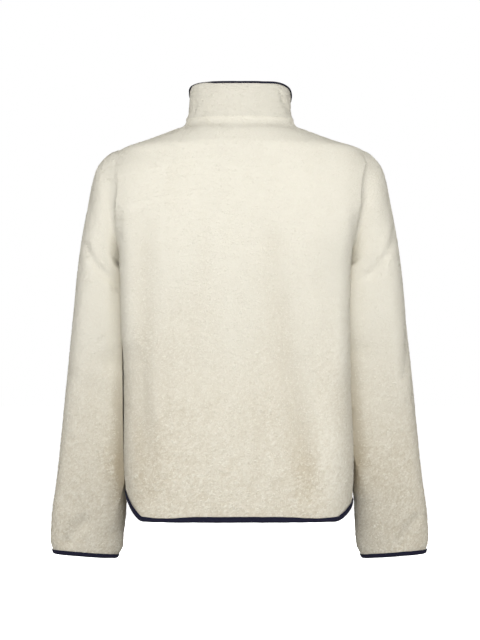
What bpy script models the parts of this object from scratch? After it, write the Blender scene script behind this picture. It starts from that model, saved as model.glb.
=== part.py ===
"""Fleece zip-up jacket in its worn shape, empty: panels, collar, bindings and a front zip.

Metres, +Z up. The front faces -Y and the wearer's left is +X. The origin lies between the
shoulders, level with the neck seam at the back, where a wearer's shoulders hold the jacket up.
"""

import math
from collections import namedtuple

import bpy
import numpy as np

WALL = 0.003  # fleece
SEAM = 0.0003  # between neighbouring pieces
BINDING_WIDTH = 0.007
BINDING_THICKNESS = 0.001

BACK_COLUMNS = 16
FRONT_COLUMNS = 9
ARMHOLE_STEPS = 10  # rows from armpit to shoulder point
COLLAR_ROWS = 5
COLLAR_POWER = 2.2  # of the superellipse through its top edge
COLLAR_FLARE = 0.7  # under 1, the collar leaves the neck seam with a curve outwards
COLLAR_MIDDLE = -0.005  # along Y
FINE = 160  # samples along a curve before it is divided evenly
OUTWARD_LEAN = 0.4  # how much a torso panel's outside looks up, against 1 sideways
FOLD_END = 0.15  # share of half a wave left off at each end of a fold
ROUND_SIDES = 16
SHARP_ANGLE = 40  # degrees; a flatter edge is shaded smooth

HEM = -0.6905
ARMHOLE_BOTTOM = -0.250
ARMHOLE_TOP = -0.056
ARMHOLE_BACK = 0.095  # how far the armhole reaches behind the shoulder line
ARMHOLE_FRONT = 0.085

# The hem lifts in a short curve at each side seam
HEM_LIFT = {"left": 0.039, "right": 0.024}
HEM_LIFT_REACH = 0.150
HEM_LIFT_START = 0.84  # of the half-width
HEM_LIFT_POWER = 1.8

TAPE_WIDTH = 0.0076
TAPE_THICKNESS = 0.0008
TEETH_WIDTH = 0.0029
TEETH_DEPTH = 0.0026
TAPE_FRONT = WALL + 2.5 * SEAM  # below the fleece's outer skin
TEETH_MIDDLE = TAPE_FRONT + TAPE_THICKNESS / 2
FRONT_EDGE = 0.0070  # from the centre line to each front's edge
ZIP_GAP = 0.0002  # from the centre line to the teeth
PARTING_START = -0.122  # the zip is closed below this height
OPEN_AT_TOP = {"left": 0.011, "right": 0.018}  # from the centre line, at the collar's top
COLLAR_FRONT_TOP = -0.014

SLIDER_ABOVE_PARTING = 0.0045  # its middle
SLIDER_LENGTH = 0.012
SLIDER_WIDTH = 0.009
SLIDER_PLATE = 0.001
WEDGE_WIDTH = 0.0012  # between the parted teeth, at the slider's upper end
WEDGE_LENGTH = 0.0025
LUG_WIDTH = 0.0026
LUG_LENGTH = 0.0048
LUG_HEIGHT = 0.0040
LUG_HOLE = 0.0011  # radius
PULL_WIDTH = 0.0058
PULL_LENGTH = 0.030
PULL_THICKNESS = 0.0012
PULL_WINDOW_WIDTH = 0.0034
PULL_WINDOW_LENGTH = 0.0038
BOX_WIDTH = 0.0105
BOX_HEIGHT = 0.0060
BOX_DEPTH = 0.0036

SIDES = {"left": 1.0, "right": -1.0}

TorsoRow = namedtuple("TorsoRow", "level back_z front_z left right back front power")
TORSO = (
    TorsoRow(HEM, HEM, HEM, 0.194, 0.193, 0.128, 0.131, 4.0),
    TorsoRow(-0.600, -0.600, -0.600, 0.200, 0.196, 0.130, 0.136, 4.3),
    TorsoRow(-0.450, -0.450, -0.450, 0.201, 0.190, 0.129, 0.139, 4.5),
    TorsoRow(-0.330, -0.330, -0.332, 0.201, 0.182, 0.134, 0.141, 4.5),
    TorsoRow(-0.250, -0.250, -0.262, 0.2035, 0.186, 0.137, 0.139, 4.3),
    TorsoRow(-0.195, -0.194, -0.219, 0.2185, 0.207, 0.135, 0.132, 4.1),
    TorsoRow(-0.150, -0.148, -0.184, 0.2280, 0.225, 0.130, 0.124, 3.9),
    TorsoRow(-0.092, -0.088, -0.138, 0.2230, 0.228, 0.117, 0.109, 3.4),
    TorsoRow(-0.070, -0.065, -0.119, 0.2130, 0.219, 0.109, 0.102, 3.0),
    TorsoRow(-0.056, -0.050, -0.108, 0.201, 0.206, 0.104, 0.098, 2.8),
    TorsoRow(-0.043, -0.038, -0.098, 0.165, 0.165, 0.096, 0.094, 2.6),
    TorsoRow(-0.030, -0.026, -0.090, 0.131, 0.131, 0.087, 0.089, 2.4),
    TorsoRow(-0.021, -0.017, -0.084, 0.110, 0.109, 0.079, 0.085, 2.2),
    TorsoRow(-0.013, -0.009, -0.079, 0.098, 0.099, 0.072, 0.081, 2.1),
    TorsoRow(-0.004, -0.003, -0.073, 0.090, 0.091, 0.066, 0.077, 2.0),
)
LEVELS_BELOW = (
    *(HEM, HEM + BINDING_WIDTH, -0.655, -0.610, -0.562, -0.514),
    *(-0.466, -0.418, -0.370, -0.326, -0.286),
)
LEVELS_ABOVE = (-0.047, -0.038, -0.029, -0.021, -0.013, -0.004)

# Each ring spans from the sleeve's outer line to its inner line, which starts at the armpit
SleeveRow = namedtuple("SleeveRow", "along outer_x outer_z left_x right_x inner_z middle_y half_depth power")
SLEEVE = (
    SleeveRow(0.000, 0.202, -0.056, 0.2035, 0.1860, -0.250, 0.002, 0.073, 2.0),
    SleeveRow(0.030, 0.224, -0.064, 0.2055, 0.1885, -0.253, 0.001, 0.076, 2.1),
    SleeveRow(0.060, 0.244, -0.085, 0.2055, 0.1880, -0.257, 0.000, 0.078, 2.2),
    SleeveRow(0.090, 0.2535, -0.112, 0.2050, 0.1875, -0.261, -0.002, 0.079, 2.3),
    SleeveRow(0.130, 0.261, -0.150, 0.2045, 0.1870, -0.266, -0.004, 0.080, 2.35),
    SleeveRow(0.190, 0.272, -0.209, 0.2040, 0.1865, -0.274, -0.006, 0.079, 2.4),
    SleeveRow(0.250, 0.280, -0.266, 0.2035, 0.1855, -0.294, -0.008, 0.077, 2.4),
    SleeveRow(0.320, 0.287, -0.336, 0.2025, 0.1850, -0.352, -0.011, 0.074, 2.4),
    SleeveRow(0.445, 0.300, -0.458, 0.2025, 0.1930, -0.469, -0.020, 0.064, 2.4),
    SleeveRow(0.610, 0.318, -0.624, 0.2020, 0.1985, -0.634, -0.033, 0.047, 2.4),
    SleeveRow(0.675, 0.327, -0.686, 0.2005, 0.2000, -0.697, -0.038, 0.038, 2.35),
    SleeveRow(0.720, 0.330, -0.733, 0.2020, 0.2035, -0.743, -0.041, 0.030, 2.3),
    SleeveRow(0.744, 0.3240, -0.757, 0.2135, 0.2140, -0.765, -0.043, 0.0265, 2.3),
)
RINGS = (
    *(0.000, 0.015, 0.030, 0.045, 0.060, 0.080, 0.105, 0.135, 0.170, 0.210, 0.260),
    *(0.320, 0.380, 0.440, 0.500, 0.560, 0.610, 0.655, 0.700, 0.737, 0.744),
)
ELBOW_GIRTH = 0.36  # turns a share of the way round into a length
SEAM_INFLUENCE = 0.060  # along the sleeve, where it still follows the armhole's own outline

# Top edge of the collar, by the share of the way round from the back's middle to the front
CollarRow = namedtuple("CollarRow", "share half_width depth top_z left_flare right_flare")
COLLAR = (
    CollarRow(0.00, 0.087, 0.062, 0.0555, 0.000, 0.000),
    CollarRow(0.22, 0.087, 0.063, 0.0555, 0.000, 0.000),
    CollarRow(0.36, 0.087, 0.065, 0.0530, 0.000, 0.000),
    CollarRow(0.50, 0.086, 0.066, 0.0450, 0.000, 0.002),
    CollarRow(0.70, 0.086, 0.069, 0.0200, 0.000, 0.0055),
    CollarRow(0.85, 0.086, 0.072, 0.0010, 0.001, 0.004),
    CollarRow(1.00, 0.086, 0.075, -0.0140, 0.001, 0.002),
)

# Soft folds on the torso as seen from the back or the front; a positive depth is a ridge
Fold = namedtuple("Fold", "face top_x top_z foot_x foot_z depth width")
FOLDS = (
    Fold("back", 0.156, -0.190, 0.166, -0.530, -0.005, 0.017),
    Fold("back", -0.056, -0.230, -0.115, -0.590, -0.005, 0.020),
    Fold("back", -0.140, -0.520, -0.158, -0.665, 0.005, 0.026),
    Fold("back", 0.150, -0.585, 0.120, -0.660, -0.004, 0.020),
    Fold("front", 0.130, -0.200, 0.150, -0.480, -0.005, 0.020),
    Fold("front", -0.120, -0.230, -0.150, -0.520, -0.005, 0.020),
    Fold("front", 0.070, -0.470, 0.110, -0.640, 0.004, 0.024),
    Fold("front", -0.060, -0.500, -0.085, -0.650, 0.004, 0.024),
)

# Creases on the sleeves; turn 0.25 is the sleeve's back, 0.5 its inner line
SleeveFold = namedtuple("SleeveFold", "side turn_start along_start turn_end along_end depth width")
SLEEVE_FOLDS = (
    SleeveFold("left", 0.15, 0.190, 0.34, 0.240, -0.005, 0.016),
    SleeveFold("right", 0.09, 0.185, 0.27, 0.240, -0.005, 0.016),
    SleeveFold("left", 0.30, 0.395, 0.62, 0.420, -0.005, 0.018),
    SleeveFold("right", 0.34, 0.380, 0.66, 0.410, -0.005, 0.018),
    SleeveFold("left", 0.68, 0.300, 0.92, 0.360, -0.005, 0.018),
    SleeveFold("right", 0.66, 0.320, 0.90, 0.365, -0.005, 0.018),
)

# Colours as linear RGB, with roughness and metallic value
Look = namedtuple("Look", "colour roughness metallic")
LOOKS = {
    "cream_fleece": Look((0.80, 0.76, 0.66), 0.95, 0.0),
    "navy_binding": Look((0.012, 0.013, 0.035), 0.75, 0.0),
    "navy_tape": Look((0.012, 0.013, 0.035), 0.85, 0.0),
    "navy_teeth": Look((0.02, 0.02, 0.045), 0.45, 0.0),
    "dark_metal": Look((0.10, 0.10, 0.11), 0.35, 1.0),
}


def clear_scene():
    for item in list(bpy.data.objects):
        bpy.data.objects.remove(item)


def material(name):
    """The Principled material called name, made at its first use."""
    if name in bpy.data.materials:
        return bpy.data.materials[name]
    made = bpy.data.materials.new(name)
    made.use_nodes = True
    shader = made.node_tree.nodes["Principled BSDF"]
    look = LOOKS[name]
    shader.inputs["Base Color"].default_value = (*look.colour, 1.0)
    shader.inputs["Roughness"].default_value = look.roughness
    shader.inputs["Metallic"].default_value = look.metallic
    return made


def eased(keys, values, at):
    """values at the point at between their keys, by a cubic that adds no bumps of its own."""
    keys = np.array(keys, dtype=float)
    values = np.array(values, dtype=float)
    secants = np.diff(values) / np.diff(keys)
    slopes = np.concatenate([[secants[0]], (secants[1:] + secants[:-1]) / 2, [secants[-1]]])
    for i in range(1, len(keys) - 1):
        low, high = secants[i - 1], secants[i]
        if low * high <= 0:
            slopes[i] = 0.0
        else:
            limit = 3 * min(abs(low), abs(high))
            slopes[i] = math.copysign(min(abs(slopes[i]), limit), slopes[i])
    i = int(np.clip(np.searchsorted(keys, at) - 1, 0, len(keys) - 2))
    step = keys[i + 1] - keys[i]
    t = min(max((at - keys[i]) / step, 0.0), 1.0)
    return float(
        values[i] * (1 + 2 * t) * (1 - t) ** 2
        + slopes[i] * step * t * (1 - t) ** 2
        + values[i + 1] * t * t * (3 - 2 * t)
        - slopes[i + 1] * step * t * t * (1 - t)
    )


def row_at(table, at):
    """The table's row at a place between its own rows, found along its first column."""
    keys = [row[0] for row in table]
    return type(table[0])(*(eased(keys, column, at) for column in zip(*table)))


def evenly(points, count):
    """count + 1 points along the line through points, equal distances apart."""
    points = np.array(points)
    steps = np.linalg.norm(np.diff(points, axis=0), axis=1)
    run = np.concatenate([[0.0], np.cumsum(steps)])
    wanted = np.linspace(0.0, run[-1], count + 1)
    return np.stack([np.interp(wanted, run, points[:, k]) for k in range(3)], axis=1)


def unit(vectors):
    lengths = np.linalg.norm(vectors, axis=-1, keepdims=True)
    return vectors / np.maximum(lengths, 1e-12)


# ---- the torso's form ----


def armhole_depth(level, face):
    """How far behind or in front of the shoulder line the armhole's edge lies at a level."""
    middle = (ARMHOLE_TOP + ARMHOLE_BOTTOM) / 2
    half = (ARMHOLE_TOP - ARMHOLE_BOTTOM) / 2
    height = (level - middle) / half
    reach = ARMHOLE_BACK if face == "back" else ARMHOLE_FRONT
    return reach * math.sqrt(max(0.0, 1.0 - height * height))


def parting(level_z, side):
    """How far the zip stands open on one side of the centre line at a height."""
    share = (level_z - PARTING_START) / (COLLAR_FRONT_TOP - PARTING_START)
    return OPEN_AT_TOP[side] * min(max(share, 0.0), 1.0)


def torso_quarter(level, side, face, inset=0.0):
    """Points of one quarter of the torso's section, from its side edge to the middle."""
    row = row_at(TORSO, level)
    depth = getattr(row, face)
    middle_z = getattr(row, face + "_z")
    width = getattr(row, side)
    power = row.power
    start = 0.0
    if ARMHOLE_BOTTOM < level < ARMHOLE_TOP:
        start = math.asin((armhole_depth(level, face) / depth) ** (power / 2))
    edge_x = 0.0
    if face == "front":
        edge_x = FRONT_EDGE + parting(middle_z, side)
    end = math.acos((edge_x / width) ** (power / 2))
    angles = np.linspace(start, end, FINE)
    x = width * np.cos(angles) ** (2 / power)
    share = np.sin(angles) ** (2 / power)
    z = level + (middle_z - level) * share**2
    reach = max(0.0, 1.0 - (level - HEM) / HEM_LIFT_REACH)
    corner = np.clip((x / width - HEM_LIFT_START) / (1.0 - HEM_LIFT_START), 0.0, 1.0)
    z = z + HEM_LIFT[side] * reach**2 * corner**HEM_LIFT_POWER
    x = x - inset
    facing = 1.0 if face == "back" else -1.0
    y = facing * (depth * share + SEAM / 2)
    return np.stack([SIDES[side] * x, y, z], axis=1)


def torso_levels():
    turns = np.linspace(math.pi, 0.0, ARMHOLE_STEPS + 1)
    middle = (ARMHOLE_TOP + ARMHOLE_BOTTOM) / 2
    half = (ARMHOLE_TOP - ARMHOLE_BOTTOM) / 2
    return [*LEVELS_BELOW, *(middle + half * np.cos(turns)), *LEVELS_ABOVE]


def is_armhole(level):
    return ARMHOLE_BOTTOM - SEAM < level < ARMHOLE_TOP + SEAM


def back_grid():
    """Rows from hem to neck, each from the left edge to the right edge."""
    rows = []
    for level in torso_levels():
        inset = SEAM / 2 if is_armhole(level) else 0.0
        left = torso_quarter(level, "left", "back", inset)
        right = torso_quarter(level, "right", "back", inset)
        rows.append(evenly(np.concatenate([left, right[::-1][1:]]), BACK_COLUMNS))
    return np.array(rows)


def front_grid(side):
    """Rows from hem to neck, each from the side edge to the zip."""
    rows = []
    for level in torso_levels():
        inset = SEAM / 2 if is_armhole(level) else 0.0
        rows.append(evenly(torso_quarter(level, side, "front", inset), FRONT_COLUMNS))
    return np.array(rows)


def grid_normals(grid, outward, wraps=False):
    """A normal at each point of a grid, on the side that outward(point) gives."""
    if wraps:
        across = np.roll(grid, -1, axis=1) - np.roll(grid, 1, axis=1)
    else:
        across = np.gradient(grid, axis=1)
    normals = unit(np.cross(across, np.gradient(grid, axis=0)))
    turned = np.sum(normals * outward(grid), axis=2, keepdims=True) < 0
    return np.where(turned, -normals, normals)


def without(vectors, axis):
    """Unit vectors with their part along an axis taken out."""
    axis = unit(np.array(axis, dtype=float))
    return unit(vectors - np.sum(vectors * axis, axis=-1, keepdims=True) * axis)


def fold_height(points, face):
    """The height of the torso's folds over a grid of points, zero at its borders."""
    total = np.zeros(points.shape[:2])
    for fold in FOLDS:
        if fold.face != face:
            continue
        top = np.array([fold.top_x, fold.top_z])
        run = np.array([fold.foot_x, fold.foot_z]) - top
        offset = points[..., [0, 2]] - top
        share = np.clip(offset @ run / (run @ run), 0.0, 1.0)
        away = np.linalg.norm(offset - share[..., None] * run, axis=-1)
        taper = np.sin(math.pi * (FOLD_END + (1.0 - 2 * FOLD_END) * share))
        total += fold.depth * taper * np.exp(-((away / fold.width) ** 2))
    total[:, [0, -1]] = 0.0
    total[[0, 1, -1], :] = 0.0
    return total


def panel_skins(grid, face, side_edges):
    """A torso panel's outer and inner skins, each a grid. side_edges are columns in the seam plane."""
    facing = 1.0 if face == "back" else -1.0

    def outward_at(points):
        """Roughly outwards: to its side, to the panel's own face and a little up."""
        away = np.empty_like(points)
        away[..., 0] = np.sign(points[..., 0])
        away[..., 1] = facing
        away[..., 2] = OUTWARD_LEAN
        return away

    normals = grid_normals(grid, outward_at)
    outer = grid + fold_height(grid, face)[..., None] * normals
    for column in side_edges:
        normals[:, column] = without(normals[:, column], (0, 1, 0))
    if face == "front":
        normals[:, -1] = without(normals[:, -1], (1, 0, 0))
    return outer, outer - WALL * normals


# ---- the sleeves' form ----


def armhole_loop(side):
    """The sleeve's side of the armhole seam, from the shoulder point round the back and up the front."""
    turns = np.linspace(0.0, math.pi, ARMHOLE_STEPS + 1)
    middle = (ARMHOLE_TOP + ARMHOLE_BOTTOM) / 2
    half = (ARMHOLE_TOP - ARMHOLE_BOTTOM) / 2
    levels = middle + half * np.cos(turns)
    back = [torso_quarter(level, side, "back", -SEAM / 2)[0] for level in levels]
    front = [torso_quarter(level, side, "front", -SEAM / 2)[0] for level in levels[1:-1]]
    back[0][1] = back[-1][1] = 0.0
    return np.array(back + front[::-1])


def ring_points(side, along):
    row = row_at(SLEEVE, along)
    sign = SIDES[side]
    inner_x = row.left_x if side == "left" else row.right_x
    outer = np.array([sign * row.outer_x, row.middle_y, row.outer_z])
    inner = np.array([sign * inner_x, row.middle_y, row.inner_z])
    turns = np.linspace(0.0, 2 * math.pi, 2 * ARMHOLE_STEPS, endpoint=False)
    cosine = np.sign(np.cos(turns)) * np.abs(np.cos(turns)) ** (2 / row.power)
    sine = np.sign(np.sin(turns)) * np.abs(np.sin(turns)) ** (2 / row.power)
    points = (outer + inner) / 2 + cosine[:, None] * (outer - inner) / 2
    points[:, 1] += row.half_depth * sine
    return points


def sleeve_fold_height(side, turns, along):
    total = np.zeros((len(along), len(turns)))
    for fold in SLEEVE_FOLDS:
        if fold.side != side:
            continue
        start = np.array([fold.turn_start * ELBOW_GIRTH, fold.along_start])
        run = np.array([fold.turn_end * ELBOW_GIRTH, fold.along_end]) - start
        places = np.stack(np.meshgrid(turns * ELBOW_GIRTH, along), axis=-1)
        offset = places - start
        share = np.clip(offset @ run / (run @ run), 0.0, 1.0)
        away = np.linalg.norm(offset - share[..., None] * run, axis=-1)
        total += fold.depth * np.exp(-((away / fold.width) ** 2))
    return total


def sleeve_skins(side):
    """A sleeve's outer and inner skins: rings from the armhole to the cuff."""
    loop = armhole_loop(side)
    pull = loop - ring_points(side, 0.0)
    rings = []
    for along in RINGS:
        hold = max(0.0, 1.0 - along / SEAM_INFLUENCE) ** 2
        rings.append(ring_points(side, along) + hold * pull)
    grid = np.array(rings)
    centres = grid.mean(axis=1, keepdims=True)
    normals = grid_normals(grid, lambda points: points - centres, wraps=True)
    turns = np.arange(grid.shape[1]) / grid.shape[1]
    height = sleeve_fold_height(side, turns, np.array(RINGS))
    outer = grid + height[..., None] * normals
    normals[0] = without(normals[0], (1, 0, 0))
    end_axis = centres[-1, 0] - centres[-2, 0]
    normals[-1] = without(normals[-1], end_axis)
    return outer, outer - WALL * normals


# ---- the collar's form ----


def collar_skins(neck):
    """The collar's skins, rows from the neck seam up, on the neck points from the left front round."""
    count = len(neck)
    shares = np.abs(np.linspace(1.0, -1.0, count))
    rows = []
    for k in range(COLLAR_ROWS + 2):
        # the row next to the top one marks the binding's lower edge
        rise = min(k, COLLAR_ROWS) / COLLAR_ROWS
        row = []
        for j, base in enumerate(neck):
            side = "left" if base[0] > 0 else "right"
            top = row_at(COLLAR, shares[j])
            flare = top.left_flare if side == "left" else top.right_flare
            width = top.half_width + flare
            edge_x = FRONT_EDGE + parting(COLLAR_FRONT_TOP, side)
            last_angle = math.pi - math.asin((edge_x / width) ** (COLLAR_POWER / 2))
            angle = last_angle * shares[j]
            x = width * math.sin(angle) ** (2 / COLLAR_POWER)
            y = top.depth * math.copysign(abs(math.cos(angle)) ** (2 / COLLAR_POWER), math.cos(angle))
            peak = np.array([SIDES[side] * x, y, top.top_z])
            foot = base + np.array([0.0, 0.0, SEAM])
            length = peak[2] - foot[2]
            share = rise * (length - BINDING_WIDTH) / length if k <= COLLAR_ROWS else 1.0
            point = foot + (peak - foot) * share**COLLAR_FLARE
            point[2] = foot[2] + length * share
            row.append(point)
        rows.append(row)
    grid = np.array(rows)
    centre = np.array([0.0, COLLAR_MIDDLE, 0.0])

    def outward_at(points):
        away = points - centre
        away[..., 2] = 0.0
        return away

    normals = grid_normals(grid, outward_at)
    for column in (0, -1):
        normals[:, column] = without(normals[:, column], (1, 0, 0))
    for row in (0, -1):
        normals[row] = without(normals[row], (0, 0, 1))
    return grid, grid - WALL * normals


# ---- meshes ----


def add_piece(name, look, points, faces, origin=(0, 0, 0)):
    """An object of one closed mesh whose points are given in world coordinates."""
    origin = np.array(origin, dtype=float)
    mesh = bpy.data.meshes.new(name)
    mesh.from_pydata([tuple(p) for p in np.array(points) - origin], [], faces)
    mesh.materials.append(material(look))
    mesh.shade_smooth()
    mesh.set_sharp_from_angle(angle=math.radians(SHARP_ANGLE))
    piece = bpy.data.objects.new(name, mesh)
    piece.location = origin
    bpy.context.collection.objects.link(piece)
    return piece


def strip_faces(first, second, closed=False):
    """Triangles between two equal runs of point numbers."""
    faces = []
    count = len(first)
    for j in range(count if closed else count - 1):
        k = (j + 1) % count
        faces.append((first[j], first[k], second[k]))
        faces.append((first[j], second[k], second[j]))
    return faces


def is_inside_out(points, faces):
    volume = 0.0
    for a, b, c in faces:
        volume += np.dot(points[a], np.cross(points[b], points[c]))
    return volume < 0


def facing_out(points, faces):
    if is_inside_out(points, faces):
        return [tuple(reversed(face)) for face in faces]
    return faces


def add_wall(name, look, outer, inner, wraps=False):
    """A wall between two skins: an open panel, or a tube where wraps is set."""
    rows, columns = outer.shape[:2]
    points = np.concatenate([outer.reshape(-1, 3), inner.reshape(-1, 3)])
    number = np.arange(rows * columns).reshape(rows, columns)
    back = number + rows * columns
    faces = []
    for i in range(rows - 1):
        faces += strip_faces(number[i], number[i + 1], wraps)
        faces += strip_faces(back[i + 1], back[i], wraps)
    faces += strip_faces(back[0], number[0], wraps)
    faces += strip_faces(number[-1], back[-1], wraps)
    if not wraps:
        faces += strip_faces(number[:, 0], back[:, 0])
        faces += strip_faces(back[:, -1], number[:, -1])
    faces = [tuple(int(v) for v in face) for face in faces]
    return add_piece(name, look, points, facing_out(points, faces))


def add_loft(name, look, sections, closed=False, origin=(0, 0, 0)):
    """A solid through equal outlines, each a ring of points; closed joins the last to the first."""
    sections = np.array(sections)
    count, ring = sections.shape[:2]
    points = sections.reshape(-1, 3)
    number = np.arange(count * ring).reshape(count, ring)
    faces = []
    for i in range(count if closed else count - 1):
        faces += strip_faces(number[i], number[(i + 1) % count], True)
    faces = [tuple(int(v) for v in face) for face in faces]
    if not closed:
        faces += [tuple(int(v) for v in number[0][::-1]), tuple(int(v) for v in number[-1])]
    flat = [face for face in faces if len(face) == 3]
    if is_inside_out(points - points.mean(axis=0), flat):
        faces = [tuple(reversed(face)) for face in faces]
    return add_piece(name, look, points, faces, origin)


def binding_sections(edge_out, next_out, edge_in, next_in):
    """Outlines of a strip folded over a wall's edge; the next row marks its depth on the wall."""
    near, far = SEAM, SEAM + BINDING_THICKNESS
    facing = unit(edge_out - edge_in)
    beyond = unit(edge_out - next_out)
    return np.stack(
        [
            next_out + near * facing,
            next_out + far * facing,
            edge_out + far * facing + far * beyond,
            edge_in - far * facing + far * beyond,
            next_in - far * facing,
            next_in - near * facing,
            edge_in - near * facing + near * beyond,
            edge_out + near * facing + near * beyond,
        ],
        axis=1,
    )


def joined_rows(panels, row):
    """One row of several neighbouring panels as a single run; the seam points become one."""
    run = [panels[0][row]]
    for panel in panels[1:]:
        run[-1] = np.concatenate([run[-1][:-1], [(run[-1][-1] + panel[row][0]) / 2]])
        run.append(panel[row][1:])
    return np.concatenate(run)


# ---- the zip ----


class ZipLine:
    """The line that one half of the zip follows: up its front's edge, then the collar's."""

    def __init__(self, front_skins, collar_skins, collar_columns):
        edge, beside = collar_columns
        outer = [skin[:, -1] for skin in front_skins] + [skin[:, edge] for skin in collar_skins]
        behind = [front_skins[0][:, -2], collar_skins[0][:, beside]]
        self.edge = np.concatenate([outer[0], outer[2][1:]])
        inner = np.concatenate([outer[1], outer[3][1:]])
        self.facing = unit(self.edge - inner)
        self.inward = unit(self.edge - np.concatenate([behind[0], behind[1][1:]]))

    def points(self, lateral, depth):
        """Points beside the edge from the hem binding to the collar binding.

        lateral is towards the centre line and depth is below the outer skin.
        """
        picked = slice(1, len(self.edge) - 1)
        return self.edge[picked] + lateral * self.inward[picked] - depth * self.facing[picked]

    def rectangle(self, near, far, front, rear):
        corners = ((near, front), (far, front), (far, rear), (near, rear))
        return np.stack([self.points(*corner) for corner in corners], axis=1)

    def frame_at(self, height):
        """The place at a height on the centre line of the teeth, with the upward and facing directions."""
        z = self.edge[:, 2]
        place = np.array([0.0, *(np.interp(height, z, self.edge[:, k]) for k in (1, 2))])
        ahead = np.array([0.0, *(np.interp(height, z, self.facing[:, k]) for k in (1, 2))])
        ahead = unit(ahead)
        return place - TEETH_MIDDLE * ahead, np.array([0.0, ahead[2], -ahead[1]]), ahead


def add_zip_half(side, line):
    """One tape behind the front's edge, with its row of teeth along the tape's edge."""
    reach = FRONT_EDGE - ZIP_GAP - TEETH_WIDTH - SEAM
    tape = line.rectangle(reach - TAPE_WIDTH, reach, TAPE_FRONT, TAPE_FRONT + TAPE_THICKNESS)
    add_loft(f"zip_tape_{side}", "navy_tape", tape)
    near = reach + SEAM
    half = TEETH_DEPTH / 2
    teeth = line.rectangle(near, near + TEETH_WIDTH, TEETH_MIDDLE - half, TEETH_MIDDLE + half)
    add_loft(f"zip_teeth_{side}", "navy_teeth", teeth)


def add_block(name, look, frame, across, along, facing, **place):
    """A box in a frame (place, up, ahead): its spans across X, along the zip and facing outwards."""
    origin, up, ahead = frame
    right = np.array([1.0, 0.0, 0.0])
    low, high = along
    corners = ((across[0], low), (across[1], low), (across[1], high), (across[0], high))
    outline = [origin + x * right + t * up for x, t in corners]
    sections = [[point + depth * ahead for point in outline] for depth in facing]
    return add_loft(name, look, sections, **place)


def add_bar(name, look, frame, radius, half_length, facing, **place):
    """A round bar along X in a frame, its axis standing off by facing."""
    origin, up, ahead = frame
    sections = []
    for x in (-half_length, half_length):
        ring = []
        for turn in np.linspace(0.0, 2 * math.pi, ROUND_SIDES, endpoint=False):
            ring.append(
                origin
                + np.array([x, 0.0, 0.0])
                + (facing + radius * math.cos(turn)) * ahead
                + radius * math.sin(turn) * up
            )
        sections.append(ring)
    return add_loft(name, look, sections, **place)


def combine(piece, other, operation):
    """Adds a Boolean whose second object takes no part of its own."""
    other.hide_render = True
    other.display_type = "WIRE"
    change = piece.modifiers.new(other.name, "BOOLEAN")
    change.operation = operation
    change.solver = "EXACT"
    change.object = other


def add_slider(frame):
    """Two plates round the teeth, joined by a wedge, with a lug that holds the pull tab."""
    half = TEETH_DEPTH / 2 + SEAM
    top = SLIDER_LENGTH / 2
    wide = SLIDER_WIDTH / 2
    front = half + SLIDER_PLATE
    slider = add_block("zip_slider", "dark_metal", frame, (-wide, wide), (-top, top), (half, front))
    narrow = wide - SLIDER_PLATE / 2
    rear = add_block("slider_rear", "dark_metal", frame, (-narrow, narrow), (-top, top), (-front, -half))
    wedge_half = WEDGE_WIDTH / 2
    inside = SLIDER_PLATE / 2
    wedge = add_block(
        "slider_wedge",
        "dark_metal",
        frame,
        (-wedge_half, wedge_half),
        (top - inside - WEDGE_LENGTH, top - inside),
        (-half - inside, half + inside),
    )
    lug_half, lug_end = LUG_WIDTH / 2, LUG_LENGTH / 2
    lug = add_block(
        "slider_lug",
        "dark_metal",
        frame,
        (-lug_half, lug_half),
        (-lug_end, lug_end),
        (front - inside, front + LUG_HEIGHT),
    )
    hole = add_bar("slider_hole", "dark_metal", frame, LUG_HOLE, LUG_WIDTH, front + LUG_HEIGHT / 2)
    for part, operation in ((wedge, "UNION"), (rear, "UNION"), (lug, "UNION"), (hole, "DIFFERENCE")):
        combine(slider, part, operation)
    return front + LUG_HEIGHT / 2


def add_pull(frame, stand_off):
    """The pull tab: a plate with a window, whose top bar turns in the slider's lug."""
    origin, up, ahead = frame
    hinge = origin + stand_off * ahead
    half, thick = PULL_WIDTH / 2, PULL_THICKNESS / 2
    pull = add_block(
        "zip_pull",
        "dark_metal",
        (hinge, up, ahead),
        (-half, half),
        (thick - PULL_LENGTH, thick),
        (-thick, thick),
        origin=hinge,
    )
    window = add_block(
        "pull_window",
        "dark_metal",
        (hinge, up, ahead),
        (-PULL_WINDOW_WIDTH / 2, PULL_WINDOW_WIDTH / 2),
        (-thick - PULL_WINDOW_LENGTH, -thick),
        (-PULL_THICKNESS, PULL_THICKNESS),
    )
    combine(pull, window, "DIFFERENCE")


def add_bottom_box(frame):
    """The box that holds both rows of teeth at the hem."""
    half = BOX_DEPTH / 2
    top = -SEAM
    wide = BOX_WIDTH / 2
    add_block("zip_box", "dark_metal", frame, (-wide, wide), (top - BOX_HEIGHT, top), (-half, half))


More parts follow.
